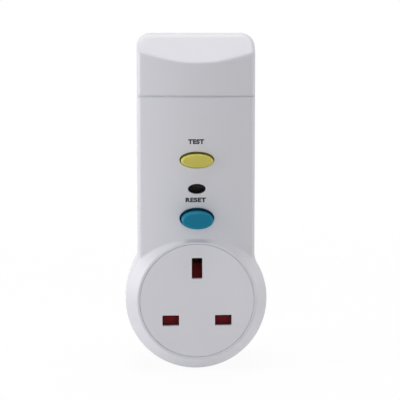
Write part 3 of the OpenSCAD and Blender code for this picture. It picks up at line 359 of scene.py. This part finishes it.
shoulder = [(-SHOULDER_OUT, SHOULDER_H), (-SHOULDER_OUT, FLOOR_H), (0, FLOOR_H)]
line_pin = round_off(
    [(SLEEVE_T, LINE_TAIL_H), (SLEEVE_T, SHOULDER_H)] + shoulder
    + [(0, 0), (SLEEVE_T, 0), (SLEEVE_T, -SLEEVE_L), (0, -SLEEVE_L), (0, TIP_L - LINE_PIN_L),
       (TIP_IN, -LINE_PIN_L), (TIP_FLAT_IN, -LINE_PIN_L)],
    [0] * 9 + TIP_EASES + [0])
sleeve = round_off([(0, 0), (0, -SLEEVE_L), (SLEEVE_T, -SLEEVE_L), (SLEEVE_T, 0), (0, 0)],
                   [0, SLEEVE_EASE, 0, 0, 0])
for side, node in ((1, "live_pin"), (-1, "neutral_pin")):
    outline = block_outline((side * LINE_X, LINE_Z), LINE_PIN_W, PIN_T, PIN_CORNER)
    hand_in(make_lump(node + "_bar", outline, line_pin), "casing", "brass", brass, node)
    hand_in(make_piece(node.replace("_pin", "_sleeve"), [carry(outline, sleeve)]),
            "casing", "dark_moulding", sleeve_plastic, "pin_sleeves")
earth_pin = round_off(
    [(EARTH_TAIL_IN, EARTH_TAIL_H), (EARTH_TAIL_IN, SHOULDER_H)] + shoulder
    + [(0, TIP_L - EARTH_PIN_L), (TIP_IN, -EARTH_PIN_L), (TIP_FLAT_IN, -EARTH_PIN_L)],
    [0] * 5 + TIP_EASES + [0])
hand_in(make_lump("earth_pin_bar", block_outline((0, EARTH_Z), PIN_T, EARTH_PIN_W, PIN_CORNER), earth_pin),
        "casing", "brass", brass, "earth_pin")

# Current path: copper strips from the line pins to the breaker, and sprung brass contacts behind the socket.
# Two insulated wires, brown and blue, carry both lines through the ring of the sensing transformer.


def dress(material, *nodes):
    """Gives CAD nodes their finish."""
    for node in nodes:
        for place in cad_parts[node].material_slots:
            place.material = material


copper = brushed_metal("copper", (0.80, 0.40, 0.24), 0.36)
contact_brass = brushed_metal("contact brass", (0.20, 0.14, 0.07), 0.5)
dress(contact_brass, "live_socket_contact", "neutral_socket_contact", "earth_socket_contact")
dress(copper, "live_in_bar", "neutral_in_bar", "live_out_bar", "neutral_out_bar", "live_moving_contact",
      "neutral_moving_contact")
dress(plastic("brown insulation", (0.10, 0.035, 0.014), 0.4), "live_wire")
dress(plastic("blue insulation", (0.02, 0.09, 0.32), 0.4), "neutral_wire")

# Sensing transformer: a ring of grey magnetic strip, wound with fine lacquered copper wire.
# The winding sits on one side of the ring and feels any difference between the two lines.


def lacquered_wire(name, lines):
    """Wound copper wire under clear lacquer: the turns are fine ridges across the coil."""
    material, feed, place = new_finish(name, Metallic=0.8, Coat_Weight=0.5, Coat_Roughness=0.15)
    turns = place.other("TexWave", {"Vector": place, "Scale": lines, "Distortion": 0.3},
                        output=1, bands_direction="Z")
    feed("Base Color", (turns * 0.6 + place.noise(300.0) * 0.4).mix((0.26, 0.08, 0.03), (0.62, 0.24, 0.10)))
    feed("Roughness", turns * 0.1 + 0.3)
    feed("Normal", turns.bump(0.05, 0.6))
    return material


dress(plastic("core coating", (0.10, 0.10, 0.11), 0.6, shade=0.12), "sensing_core")
dress(lacquered_wire("winding wire", 400.0), "sensing_winding")

# Breaker: glass-filled mouldings screwed together over the contacts, with a sliding carrier between them.
# Pressing the reset button drives the carrier down and closes both lines against their springs.
frame_plastic = plastic("frame plastic", (0.42, 0.40, 0.35), 0.5, shade=0.06)
dark_plastic = plastic("dark plastic", (0.022, 0.022, 0.024), 0.5, shade=0.1)
steel = brushed_metal("steel", (0.62, 0.62, 0.63), 0.34)
dress(frame_plastic, "mechanism_base", "contact_block", "coil_bobbin")
dress(dark_plastic, "mechanism_bridge", "contact_carrier", "trip_lever", "control_chip", "diodes")
dress(steel, "casing_screws", "bridge_screws", "flag_spindle", "coil_yoke", "plunger", "lever_pin")
dress(lacquered_wire("trip coil wire", 1500.0), "trip_coil")

# Springs: hard-drawn steel wire coiled in a helix, one behind each button and each sliding piece.
# Each lies along its own axis, between the seats it stands on.
SPRING_RINGS = 28
SPRING_SIDES = 10


def helix(low, high, along, thick, turns):
    """Round wire wound in a box: its middle line turns about the box's axis as it climbs, and each ring of
    the wire is a circle in the plane of the axis and the radius. The end rings close to a point."""
    flat = [axis for axis in range(3) if axis != along]
    middle = (low + high) / 2
    radius = (high - low)[flat].min() / 2 - thick
    count = turns * SPRING_RINGS + 1
    swing = np.linspace(0, 2 * np.pi * turns, count)[:, None]
    climb = np.linspace(low[along] + thick, high[along] - thick, count)[:, None]
    around = np.linspace(0, 2 * np.pi, SPRING_SIDES + 1)
    wire = np.full((count, 1), thick)
    wire[[0, -1]] = 0
    reach = radius + wire * np.cos(around)
    grid = np.empty((count, SPRING_SIDES + 1, 3))
    grid[..., flat[0]] = middle[flat[0]] + reach * np.cos(swing)
    grid[..., flat[1]] = middle[flat[1]] + reach * np.sin(swing)
    grid[..., along] = climb + wire * np.sin(around)
    return grid


def add_spring(node, along, thick, turns):
    """Spring in the box of its CAD node, or a pair at the ends of a wide one."""
    low, high = (np.array(corner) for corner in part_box(node))
    size = high - low
    size[along] = 0
    wide = int(np.argmax(size))
    first, last = high.copy(), low.copy()
    coil = np.delete(high - low, along).min()
    first[wide], last[wide] = low[wide] + coil, high[wide] - coil
    boxes = [(low, first), (last, high)] if size[wide] > 1.5 * coil else [(low, high)]
    spring = make_piece(node + "_wire", [helix(*box, along, thick * 0.001, turns) for box in boxes])
    hand_in(spring, "casing", "steel", steel, node)
    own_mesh(spring)


ALONG_Y, ALONG_Z = 1, 2
add_spring("shutter_spring", ALONG_Z, thick=0.25, turns=8)
add_spring("opening_springs", ALONG_Y, thick=0.25, turns=5)
add_spring("reset_spring", ALONG_Y, thick=0.3, turns=6)
add_spring("test_spring", ALONG_Y, thick=0.25, turns=7)
add_spring("plunger_spring", ALONG_Z, thick=0.2, turns=4)

# Shutter: a red moulded slider behind the socket face. The long earth pin pushes its ramp down and so opens
# the line holes. At rest it shows through all three holes as a dark red wall.
shutter_plastic = plastic("shutter plastic", (0.27, 0.024, 0.028), 0.7, shade=0.08, Specular_IOR_Level=0.08)
dress(shutter_plastic, "shutter")

# Test leaf: a strip of sprung brass, bent up from its foot on the circuit board over a brass stud.
# The test button's stem bends its free end down to the stud, which draws a small current past the ring.
BOARD_H = 10.1
LEAF_TOP_H = 14.8
LEAF_T = 0.5
LEAF_HALF = 1.5
LEAF_BEND = 0.8
FOOT_Z, HEEL_Z, KNEE_Z, TIP_Z = 68.5, 65.6, 61.8, 57.1
STUD_R = 1.2
STUD_FLAT_IN = 1.15
STUD_EASE = 0.3
TEST_Z = 59.5
TEST_TRAVEL = 1.6


def bent_strip(path, thick, half):
    """Strip of metal: a path of (z, h) points, moved half the thickness to each side along its normal, and
    carried across from one edge to the other. Flat faces close its edges and ends."""
    along = np.gradient(path, axis=0)
    normal = np.stack([-along[:, 1], along[:, 0]], -1) / np.linalg.norm(along, axis=1)[:, None]
    upper, lower = path + normal * thick / 2, path - normal * thick / 2
    faces = [stand(np.array([[-half], [half]]), *side.T[:, None]) for side in (upper, lower)]
    edges = [stand(x, *np.stack([upper, lower], 1).T) for x in (-half, half)]
    return faces + edges + [np.stack([faces[0][:, tip], faces[1][:, tip]]) for tip in (0, -1)]


low_h, high_h = BOARD_H + LEAF_T / 2, LEAF_TOP_H - LEAF_T / 2
leaf_path = round_off([(FOOT_Z, low_h), (HEEL_Z, low_h), (KNEE_Z, high_h), (TIP_Z, high_h)],
                      [0, LEAF_BEND, LEAF_BEND, 0])
leaf = make_piece("test_leaf", bent_strip(leaf_path, LEAF_T, LEAF_HALF))
hand_in(leaf, "casing", "brass", brass, "test_contact")
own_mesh(leaf)
stud_h = LEAF_TOP_H - LEAF_T - TEST_TRAVEL
stud = round_off([(0, BOARD_H), (0, stud_h), (STUD_FLAT_IN, stud_h)], [0, STUD_EASE, 0])
hand_in(make_lump("test_stud", ring_outline((0, TEST_Z), STUD_R), stud),
        "casing", "brass", brass, "test_contact")

# Circuit board: a green glass laminate with the leaded parts that drive the trip coil.
# Its parts are a film and an electrolytic capacitor, a surge disc, resistors and diodes.


def board_green(name):
    """Printed board under green solder resist: broad tracks show through as paler bands."""
    material, feed, place = new_finish(name, Coat_Weight=0.4)
    tracks = place.other("TexBrick", {"Vector": place, "Scale": 160.0, "Mortar Size": 0.03}, output=1)
    tone = tracks * 0.7 + place.noise(400.0) * 0.3
    feed("Base Color", tone.mix((0.012, 0.10, 0.035), (0.04, 0.22, 0.08)))
    feed("Roughness", place.noise(900.0) * 0.1 + 0.3)
    return material


dress(board_green("board resist"), "circuit_board")
dress(plastic("can sleeve", (0.015, 0.05, 0.20), 0.3), "electrolytic_capacitor")
dress(plastic("film coating", (0.62, 0.38, 0.03), 0.35), "film_capacitor")
dress(plastic("surge disc coating", (0.03, 0.13, 0.42), 0.4), "varistor")
dress(plastic("resistor coating", (0.48, 0.33, 0.18), 0.45), "resistors")

# Front cover: a single white plastic moulding with a crowned face, a brow that slopes back to the top and a
# fine cross groove. Oval holes with eased edges let the buttons and the lens through.
# Screws from behind hold it to the rear cover, along a seam that runs all round.
APEX_H = 41.0
CROWN_R = 80.0
BROW_Z = 99.6
BROW_SLOPE = math.tan(math.radians(40.7))
BROW_EASE = 0.5
BEVEL_TOP_R = 25.2
BEVEL_TOP_H = 42.0
BEVEL_EDGE_H = 36.6
BEVEL_SLOPE = (BEVEL_TOP_H - BEVEL_EDGE_H) / (RING_R - BEVEL_TOP_R)
BEVEL_EASE = 0.6
BEVEL_UNDER = 0.02
PAST_RING_SLOPE = 6.0
GROOVE_Z = 86.0
GROOVE_HALF = 0.7
GROOVE_DEEP = 0.7
SIDE_BEND = 1.6
TOP_BEND = 2.0
TOP_BEND_Z = 104.0
TOP_BEND_RUN = 6.0
SKIN_WALL = 1.5
MID_HALF = 9.5
HOLE_WALL = 2.4
HOLE_RIM = 0.75
HOLE_BEND = 0.35
FOOT_GAP = 0.03
HOLE_ROWS = 11
HOLES = [(29.6, 41.5, 34.9, 7.25, 4.4), (41.5, 53.3, 47.3, 3.75, 2.1), (53.3, 66.0, 59.5, 7.25, 3.4)]


def crown(x):
    """Height of the front face: a cylinder whose highest line runs up the middle."""
    return APEX_H - (CROWN_R - np.sqrt(CROWN_R ** 2 - x ** 2))


def face_height(x, z):
    """Front surface over a spot: the lower of the crown and the brow's plane, eased where they meet, then
    the higher of that and the ring's bevel, eased likewise, less a V groove and the edge's rounding."""
    brow = APEX_H - (z - BROW_Z) * BROW_SLOPE
    top = crown(x)
    ease = np.maximum(1 - np.abs(top - brow) / BROW_EASE, 0) ** 2
    height = np.minimum(top, brow) - BROW_EASE / 4 * ease
    radius = np.hypot(x, z)
    bevel = BEVEL_TOP_H - (radius - BEVEL_TOP_R) * BEVEL_SLOPE - BEVEL_UNDER
    bevel = bevel - PAST_RING_SLOPE * np.maximum(radius - RING_R, 0)
    ease = np.maximum(1 - np.abs(height - bevel) / BEVEL_EASE, 0) ** 2
    height = np.maximum(height, bevel) + BEVEL_EASE / 4 * ease
    groove = GROOVE_DEEP * np.maximum(1 - np.abs(z - GROOVE_Z) / GROOVE_HALF, 0)
    over_x, over_z = np.abs(x) - (BODY_HALF - CORNER_R), z - (BODY_TOP - CORNER_R)
    straight = np.minimum(body_width(np.minimum(z, BODY_TOP - CORNER_R)) - np.abs(x), CORNER_R - over_z)
    inside = np.where((over_x > 0) & (over_z > 0), CORNER_R - np.hypot(over_x, over_z), straight)
    bend = SIDE_BEND + (TOP_BEND - SIDE_BEND) * np.clip((z - TOP_BEND_Z) / TOP_BEND_RUN, 0, 1)
    short = np.clip(bend - inside, 0, bend)
    return height - groove - (bend - np.sqrt(bend ** 2 - short ** 2))


def body_width(z):
    """Half width of the casing at a height: straight sides that flare out on an arc into the ring at the
    bottom, and the quarter circles of the top corners."""
    over = np.clip(z - (BODY_TOP - CORNER_R), 0, CORNER_R)
    under = np.clip(FLARE_Z - z, 0, FLARE_Z * FLARE_R / (RING_R + FLARE_R))
    flare = FLARE_R - np.sqrt(FLARE_R ** 2 - under ** 2)
    return BODY_HALF - CORNER_R + np.sqrt(CORNER_R ** 2 - over ** 2) + flare


def ease_in(width, steps):
    """Distances from an edge over a rounding of that width, at equal steps of its angle, down to 0."""
    return width * (1 - np.sin(np.linspace(0, np.pi / 2, steps)))


def on_face(x, z, drop=0.0):
    """Points of the front surface, sunk by a drop."""
    return stand(x, z, face_height(x, z) - drop)


middle = np.linspace(-MID_HALF, MID_HALF, 25)
edge_gaps = np.concatenate([[13, 10, 7, 4.5, 2.8, 2.1], ease_in(SIDE_BEND, 9)])
share = 1 - edge_gaps / (BODY_HALF - MID_HALF)


def across(z):
    """Places across the face at heights z: even over the middle, then closer and closer to each edge."""
    reach = MID_HALF + (body_width(z)[:, None] - MID_HALF) * share
    return np.concatenate([-reach[:, ::-1], np.broadcast_to(middle, (len(z), len(middle))), reach], axis=1)


def hole_patch(low, high, mid, half_w, half_h):
    """Face round one oval hole: loops that go from a rectangle's rim to the oval, over its rounded edge and
    inwards."""
    up = np.linspace(low, high, HOLE_ROWS)
    side, flat = np.full(HOLE_ROWS - 2, MID_HALF), np.ones(len(middle))
    rim_x = np.concatenate([middle, side, middle[::-1], -side, middle[:1]])
    rim_z = np.concatenate([flat * low, up[1:-1], flat * high, up[-2:0:-1], [low]])
    angle = np.arctan2((rim_z - mid) / (high - low), rim_x / (2 * MID_HALF))
    gap = np.concatenate([np.full(4, HOLE_RIM), ease_in(HOLE_BEND, 7), [0, 0]])[:, None]
    out = np.concatenate([[1, 0.66, 0.33], np.zeros(10)])[:, None]
    sink = np.concatenate([np.zeros(11), [HOLE_WALL / 2, HOLE_WALL]])[:, None]
    x = out * rim_x + (1 - out) * (half_w + gap) * np.cos(angle)
    z = out * rim_z + (1 - out) * (mid + (half_h + gap) * np.sin(angle))
    short = np.clip(HOLE_BEND - gap, 0, HOLE_BEND)
    return on_face(x, z, HOLE_BEND - np.sqrt(HOLE_BEND ** 2 - short ** 2) + sink)


above = np.concatenate([
    np.arange(66, 84.5, 3), GROOVE_Z + np.array([-1.2, -0.8, -0.7, -0.6, -0.45, -0.3, -0.15, 0]),
    GROOVE_Z + np.array([0.15, 0.3, 0.45, 0.6, 0.7, 0.8, 1.2]), np.arange(88.5, 98, 2.5),
    np.arange(98.6, 102.4, 0.2), np.arange(102.8, 106.6, 0.6),
    BODY_TOP - CORNER_R + CORNER_R * np.sin(np.linspace(0, np.pi / 2, 13)), BODY_TOP - ease_in(TOP_BEND, 9)])
above = np.sort(above)
above = above[np.append(np.diff(above) > 0.02, True)]
beside = np.unique(np.concatenate([np.linspace(low, high, HOLE_ROWS) for low, high, *_ in HOLES]))

wide = across(np.array([HOLES[0][0]]))[0]
junction = np.minimum(BEVEL_TOP_R + (BEVEL_TOP_H - crown(wide)) / BEVEL_SLOPE, RING_R)
past = np.array([-1.2, -0.6, -0.3, -0.15, 0, 0.15, 0.3, 0.6, 1.0, 1.6, 2.2])[:, None]
near_z = np.sqrt((junction + past) ** 2 - wide ** 2)
blend = np.linspace(0, 1, 6)[1:, None]
near_z = np.concatenate([near_z, near_z[-1] + (HOLES[0][0] - near_z[-1]) * blend])

outward = np.sign(wide) * np.clip((np.abs(wide) - MID_HALF) / (BODY_HALF - MID_HALF), 0, 1)
low_skin = on_face(wide + outward * (body_width(near_z) - BODY_HALF), near_z)
beside_x = across(beside)
sides = len(share) + 1
left_skin = on_face(beside_x[:, :sides], beside[:, None])
right_skin = on_face(beside_x[:, -sides:], beside[:, None])
high_skin = on_face(across(above), above[:, None])
left_edge = np.concatenate([low_skin[:, 0], left_skin[1:, 0], high_skin[1:, 0]])
right_edge = np.concatenate([low_skin[:, -1], right_skin[1:, -1], high_skin[1:, -1]])
edge = np.concatenate([left_edge, high_skin[-1, 1:-1], right_edge[::-1]])
foot = edge * (1, 0, 1) - (0, (SEAM_H + FOOT_GAP) * 0.001, 0)
side_wall = edge + (foot - edge) * np.linspace(0, 1, 6)[:, None, None]
skin = make_piece("front_skin", [low_skin, left_skin, right_skin, high_skin, side_wall]
                  + [hole_patch(*hole) for hole in HOLES], wall=SKIN_WALL)
hand_in(skin, "casing", "shell_white", shell_plastic, "front_cover")

# Front ring: the round end of the same moulding, bored for the socket face and bevelled all round.
# Its upper arc grows out of the crowned face, and the rest of it runs back as a wall to the seam.
BORE_R = 24.13
SEAT_R = 26.6
SEAT_H = 38.0
INNER_R = 27.8
SHELF_H = 37.2
BORE_EASE, CREST_EASE, EDGE_EASE = 0.22, 0.45, 0.5
COVERED_FOOT_H = BEVEL_EDGE_H - 0.7
SKIN_CLEAR = 0.1
TURN_GAP = 0.05
MEET = math.degrees(math.acos(BODY_HALF / RING_R))
ring_turn = np.radians(np.concatenate([
    np.linspace(180 - MEET + TURN_GAP, 360 + MEET - TURN_GAP, 133),
    np.linspace(360 + MEET + TURN_GAP, 540 - MEET - TURN_GAP, 61), [540 - MEET + TURN_GAP]]))
ring_x = RING_R * np.cos(ring_turn)
covered = (np.abs(ring_x) < BODY_HALF) & (np.sin(ring_turn) > 0)
under_skin = crown(np.clip(ring_x, -BODY_HALF, BODY_HALF)) - SKIN_WALL - SKIN_CLEAR
ring_foot = np.where(covered, np.minimum(COVERED_FOOT_H, under_skin), SEAM_H)
ring_face = round_off(
    [(BORE_R, SEAT_H), (BORE_R, BEVEL_TOP_H), (BEVEL_TOP_R, BEVEL_TOP_H), (RING_R, BEVEL_EDGE_H),
     (RING_R, SEAM_H)],
    [0, BORE_EASE, CREST_EASE, EDGE_EASE, 0])[:-1]
ring_in = np.array([(RING_R, 0), (INNER_R, 0), (INNER_R, SHELF_H), (SEAT_R, SHELF_H), (SEAT_R, SEAT_H),
                    (BORE_R, SEAT_H)])
ring_r, ring_h = np.concatenate([ring_face, ring_in]).T[:, :, None]
ring_h = np.where(ring_h == 0, ring_foot, ring_h)
ring = make_piece("front_ring", [stand(ring_r * np.cos(ring_turn), ring_r * np.sin(ring_turn), ring_h)])
hand_in(ring, "casing", "shell_white", shell_plastic, "front_cover")

# Socket face: a separate white disc, coloured a little lighter than the shell, snapped into the ring from
# behind, with a fine gap round its rounded rim. Its three holes take a three-pin plug, and the long one on
# top is for the earth pin.
DISC_R = 24.05
DISC_BACK_H = 39.4
DISC_EASE = 0.1
DISC_FLAT_IN = 0.6
SNAP_OUT = 2.0
SNAP_TOP_H, SNAP_LOW_H = 37.9, 36.1
SKIRT_H = 33.4
SKIRT_T = 1.2
BACK_FLAT_IN = 1.6
LINE_SLOT = (7.1, 4.5)
EARTH_SLOT = (4.5, 8.8)
SLOT_CORNER = 0.4
SLOT_EASE = 0.12
SLOT_FRONT_OUT, SLOT_BACK_OUT = 0.5, 0.3
FACE_SHADE = 1.06
# The face's plastic is the shell's colour made 6% lighter.
face_plastic = plastic("socket face plastic", tuple(c * FACE_SHADE for c in SHELL_COLOUR), 0.42)
disc_outline = ring_outline((0, 0), DISC_R)
slots = [block_outline((-LINE_X, LINE_Z), *LINE_SLOT, SLOT_CORNER),
         block_outline((LINE_X, LINE_Z), *LINE_SLOT, SLOT_CORNER),
         block_outline((0, EARTH_Z), *EARTH_SLOT, SLOT_CORNER)]
disc_edge = round_off(
    [(DISC_FLAT_IN, BEVEL_TOP_H), (0, BEVEL_TOP_H), (0, SNAP_TOP_H), (-SNAP_OUT, SNAP_TOP_H),
     (-SNAP_OUT, SNAP_LOW_H), (0, SNAP_LOW_H), (0, SKIRT_H), (SKIRT_T, SKIRT_H), (SKIRT_T, DISC_BACK_H),
     (BACK_FLAT_IN, DISC_BACK_H)],
    [0, DISC_EASE] + [0] * 8)
slot_edge = round_off(
    [(-SLOT_FRONT_OUT, BEVEL_TOP_H), (0, BEVEL_TOP_H), (0, DISC_BACK_H), (-SLOT_BACK_OUT, DISC_BACK_H)],
    [0, SLOT_EASE, 0, 0])
disc = make_piece(
    "socket_disc", [carry(disc_outline, disc_edge)] + [carry(slot, slot_edge) for slot in slots],
    [flat_cap([disc_outline(DISC_FLAT_IN)] + [slot(-SLOT_FRONT_OUT) for slot in slots], BEVEL_TOP_H),
     flat_cap([disc_outline(BACK_FLAT_IN)] + [slot(-SLOT_BACK_OUT) for slot in slots], DISC_BACK_H)])
hand_in(disc, "casing", "shell_white", face_plastic, "socket_face")

# Buttons: a short yellow one to test and a tall blue one to reset, each a plastic moulding in one piece.
# The flange behind the face keeps the oval cap in, and the stem runs in the breaker's bridge.
CAP_RISE = 0.1
CAP_RIM = 0.8
STEM_IN = 0.2


def oval_outline(mid, half_w, half_h):
    """Ellipse about a height, with both half sizes less the inset."""
    return lambda inset: np.stack([(half_w - inset) * np.cos(FULL_TURN),
                                   mid + (half_h - inset) * np.sin(FULL_TURN)], -1)


def oval_cap(mid, half_w, half_h, top, rise, rim, flange):
    """Oval cap: a shallow dome over scaled ellipses, a chamfered rim with eased corners, a wall and a flange
    of (reach, top, underside)."""
    scale = np.linspace(0, 1, 9)[:, None]
    inner, ease = rim * 1.4, rim * 0.3
    dome = stand(scale * (half_w - inner) * np.cos(FULL_TURN),
                 mid + scale * (half_h - inner) * np.sin(FULL_TURN), top - rise * scale ** 2)
    reach, high, low = flange
    side = round_off([(inner, top - rise), (rim, top - rise), (0, top - rise - rim), (0, high),
                      (-reach, high), (-reach, low)], [0, ease, ease, 0, 0, 0])
    outline = oval_outline(mid, half_w, half_h)
    return [dome, carry(outline, side)], [flat_cap([outline(-reach)], low)]


def add_button(node, mid, half_w, half_h, top, flange, stem_r, slot_name, material):
    """Oval cap with its stem, which runs back to where its CAD node ends."""
    grids, caps = oval_cap(mid, half_w, half_h, top, CAP_RISE, CAP_RIM, flange)
    stem = ring_outline((0, mid), stem_r)
    start, end = flange[2] + STEM_IN, -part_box(node)[1][1] * 1000
    grids.append(carry(stem, [(0, start), (0, end)]))
    caps += [flat_cap([stem(0)], start), flat_cap([stem(0)], end)]
    hand_in(make_piece(node + "_cap", grids, caps), node, slot_name, material, node)


yellow_plastic = plastic("yellow plastic", (0.525, 0.468, 0.087), 0.42, Specular_IOR_Level=0.3)
blue_plastic = plastic("blue plastic", (0.002, 0.160, 0.265), 0.42, Specular_IOR_Level=0.15)
add_button("test_button", mid=59.15, half_w=6.8, half_h=2.85, top=43.1, flange=(1.6, 37.2, 36.0), stem_r=2.0,
           slot_name="button_yellow", material=yellow_plastic)
add_button("reset_button", mid=34.5, half_w=6.6, half_h=3.65, top=47.0, flange=(1.6, 36.7, 35.5), stem_r=2.5,
           slot_name="button_blue", material=blue_plastic)

# Indicator: a smoked oval lens, snapped in from behind, over a black flag on a spindle with a red stretch.
# While the breaker is tripped only the edge of the red shows at the top of the lens.
smoked_lens, feed_lens, lens_place = new_finish("smoked lens", Roughness=0.12, Specular_IOR_Level=0.06,
                                                Alpha=0.3)
feed_lens("Base Color", lens_place.noise(500.0).mix((0.010, 0.009, 0.008), (0.018, 0.015, 0.013)))
lens_grids, lens_caps = oval_cap(mid=47.3, half_w=3.6, half_h=1.95, top=40.4, rise=0.1, rim=0.25,
                                 flange=(1.25, 37.5, 36.3))
lens = make_piece("indicator_lens", lens_grids, lens_caps)
hand_in(lens, "casing", "smoked_lens", smoked_lens, "indicator_window")
dress(dark_plastic, "indicator_flag")
FLAG_Z = 47.4
FLAG_H = 28.8
FLAG_REACH = 5.4
RED_IN_R, RED_OUT_R = 6.2, 6.83
RED_FROM, RED_TO = 30, 84
turn = np.radians(np.linspace(RED_FROM, RED_TO, 28))


def red_face(radius, reach):
    """Stretch of a cylinder round the flag's axis: radius and reach across are arrays along its outline."""
    return stand(reach[:, None], FLAG_Z + radius[:, None] * np.cos(turn),
                 FLAG_H + radius[:, None] * np.sin(turn))


paint = red_face(np.array([RED_IN_R, RED_OUT_R, RED_OUT_R, RED_IN_R, RED_IN_R]),
                 np.array([-1, -1, 1, 1, -1]) * FLAG_REACH)
ends = [paint[[[0, 1], [3, 2]], edge_at] for edge_at in (0, -1)]
flag_red = plastic("flag red", (0.50, 0.045, 0.040), 0.5)
hand_in(make_piece("flag_paint", [paint] + ends), "indicator_flag", "shutter_red", flag_red, "flag_red_face")

# Legends: the two control words printed in dark ink on the face, each just above its button.
# The ink is a film a few hundredths of a millimetre thick that follows the crown.
INK_T = 0.04
INK_SINK = 0.02
ink = plastic("legend ink", (0.012, 0.012, 0.014), 0.6)


def add_legend(word, left, right, low, high):
    """Printed word: the letters' flat mesh is fitted to a box on the face and laid over the crown."""
    touching = 1e-7
    text = bpy.data.curves.new(word, "FONT")
    text.body = word
    text.extrude = 0.01
    text.offset = 0.065
    text.space_character = 1.12
    letters = bpy.data.objects.new(word, text)
    bpy.context.collection.objects.link(letters)
    mesh = bpy.data.meshes.new_from_object(letters.evaluated_get(bpy.context.evaluated_depsgraph_get()))
    bpy.data.objects.remove(letters)
    flat = np.empty(len(mesh.vertices) * 3)
    mesh.vertices.foreach_get("co", flat)
    flat = flat.reshape(-1, 3)
    lowest, size = flat.min(0), np.ptp(flat, axis=0)
    x, z, lift = ((flat - lowest) / size).T
    x = left + (right - left) * x
    h = crown(x) - INK_SINK + INK_T * lift
    mesh.vertices.foreach_set("co", stand(x, low + (high - low) * z, h).ravel())
    work = bmesh.new()
    work.from_mesh(mesh)
    bmesh.ops.remove_doubles(work, verts=work.verts, dist=touching)
    bmesh.ops.recalc_face_normals(work, faces=work.faces)
    work.to_mesh(mesh)
    work.free()
    legend = bpy.data.objects.new("legend_" + word.lower(), mesh)
    bpy.context.collection.objects.link(legend)
    hand_in(legend, "casing", "dark_moulding", ink)


add_legend("TEST", left=-3.7, right=3.0, low=66.1, high=68.2)
add_legend("RESET", left=-4.8, right=3.8, low=41.7, high=43.7)

# Studio: a pale sweep of paper under and behind the object, wide soft lights from the left and above, and
# weaker fills from the right and the front. The sweep is white to the camera and keeps a faint shadow.
FLOOR_Z = -0.030
SWEEP_FRONT, SWEEP_BACK = -1.6, 0.9
SWEEP_BEND = 0.4
SWEEP_TOP = 2.4
SWEEP_HALF = 2.0
GLOW_UNSEEN = 0.54
GLOW_NEAR, GLOW_FAR = 0.39, 0.07


def light(name, spot, size, power, aim=(0.0, -0.03, 0.04)):
    """Square soft light of a size in metres, turned to the object."""
    lamp = bpy.data.lights.new(name, "AREA")
    lamp.size = size
    lamp.energy = power
    holder = bpy.data.objects.new(name, lamp)
    holder.location = spot
    holder.rotation_euler = (Vector(aim) - Vector(spot)).to_track_quat("-Z", "Y").to_euler()
    bpy.context.collection.objects.link(holder)


def shown(tree):
    """1 for what the camera sees straight, in a gloss or through a clear piece, and 0 for other rays."""
    rays = tree.nodes.new("ShaderNodeLightPath").outputs
    return Link(rays["Is Camera Ray"]) + Link(rays["Is Glossy Ray"]) + Link(rays["Is Transmission Ray"])


bend = np.linspace(0, np.pi / 2, 13)
sweep_y = np.concatenate([[SWEEP_FRONT], SWEEP_BACK + SWEEP_BEND * np.sin(bend), [SWEEP_BACK + SWEEP_BEND]])
sweep_z = FLOOR_Z + np.concatenate([[0], SWEEP_BEND - SWEEP_BEND * np.cos(bend), [SWEEP_TOP]])
sweep_x = np.array([-SWEEP_HALF, SWEEP_HALF])
sweep = make_piece("sweep", [np.stack(np.broadcast_arrays(sweep_x, sweep_y[:, None], sweep_z[:, None]), -1)])
paper, feed_paper, paper_place = new_finish("paper", Roughness=0.9)
feed_paper("Base Color", paper_place.noise(6.0).mix((0.80, 0.80, 0.80), (0.82, 0.82, 0.82)))
sweep.data.materials.append(paper)
paper_tree = paper.node_tree
glow = paper_tree.nodes.new("ShaderNodeEmission")
seen = paper_tree.nodes.new("ShaderNodeMixShader")
away = paper_place.other("VectorMath", {0: paper_place, 1: (0.0, 0.0, FLOOR_Z)}, output=1,
                         operation="DISTANCE")
away = away.other("MapRange", {"Value": away, "From Min": 0.12, "From Max": 0.5})
bright = shown(paper_tree) * (away * GLOW_FAR + GLOW_NEAR) + GLOW_UNSEEN
paper_tree.links.new(bright.socket, seen.inputs[0])
paper_tree.links.new(paper_tree.nodes["Principled BSDF"].outputs[0], seen.inputs[1])
paper_tree.links.new(glow.outputs[0], seen.inputs[2])
paper_tree.links.new(seen.outputs[0], paper_tree.nodes["Material Output"].inputs[0])

world = bpy.data.worlds.new("studio")
bpy.context.scene.world = world
world.use_nodes = True
sky = world.node_tree.nodes["Background"]
sky_colour = shown(world.node_tree).mix((0.02, 0.02, 0.02), (1, 1, 1))
world.node_tree.links.new(sky_colour.socket, sky.inputs["Color"])

light("left_key", spot=(-1.0, -0.2, 0.29), size=0.7, power=8.0)
light("top_light", spot=(0.0, 0.05, 1.1), size=0.8, power=9.7)
light("right_fill", spot=(1.0, -0.2, 0.25), size=0.7, power=3.4)
light("front_fill", spot=(0.0, -1.5, 0.5), size=1.2, power=4.4)

# Camera: a long lens, a little to the left of the object and level with its top, turned to its middle.
# It is placed so that the outline and the sides show as they do in the photo.
CAMERA_SPOT = Vector((-0.03489, -0.63724, 0.10902))
CAMERA_AIM = Vector((0.00120, -0.04200, 0.04276))
view = bpy.data.cameras.new("camera")
view.lens = 129.06
view.sensor_width = 36.0
camera = bpy.data.objects.new("camera", view)
camera.location = CAMERA_SPOT
camera.rotation_euler = (CAMERA_AIM - CAMERA_SPOT).to_track_quat("-Z", "Y").to_euler()
bpy.context.collection.objects.link(camera)
bpy.context.scene.camera = camera
bpy.context.scene.view_settings.view_transform = "Standard"
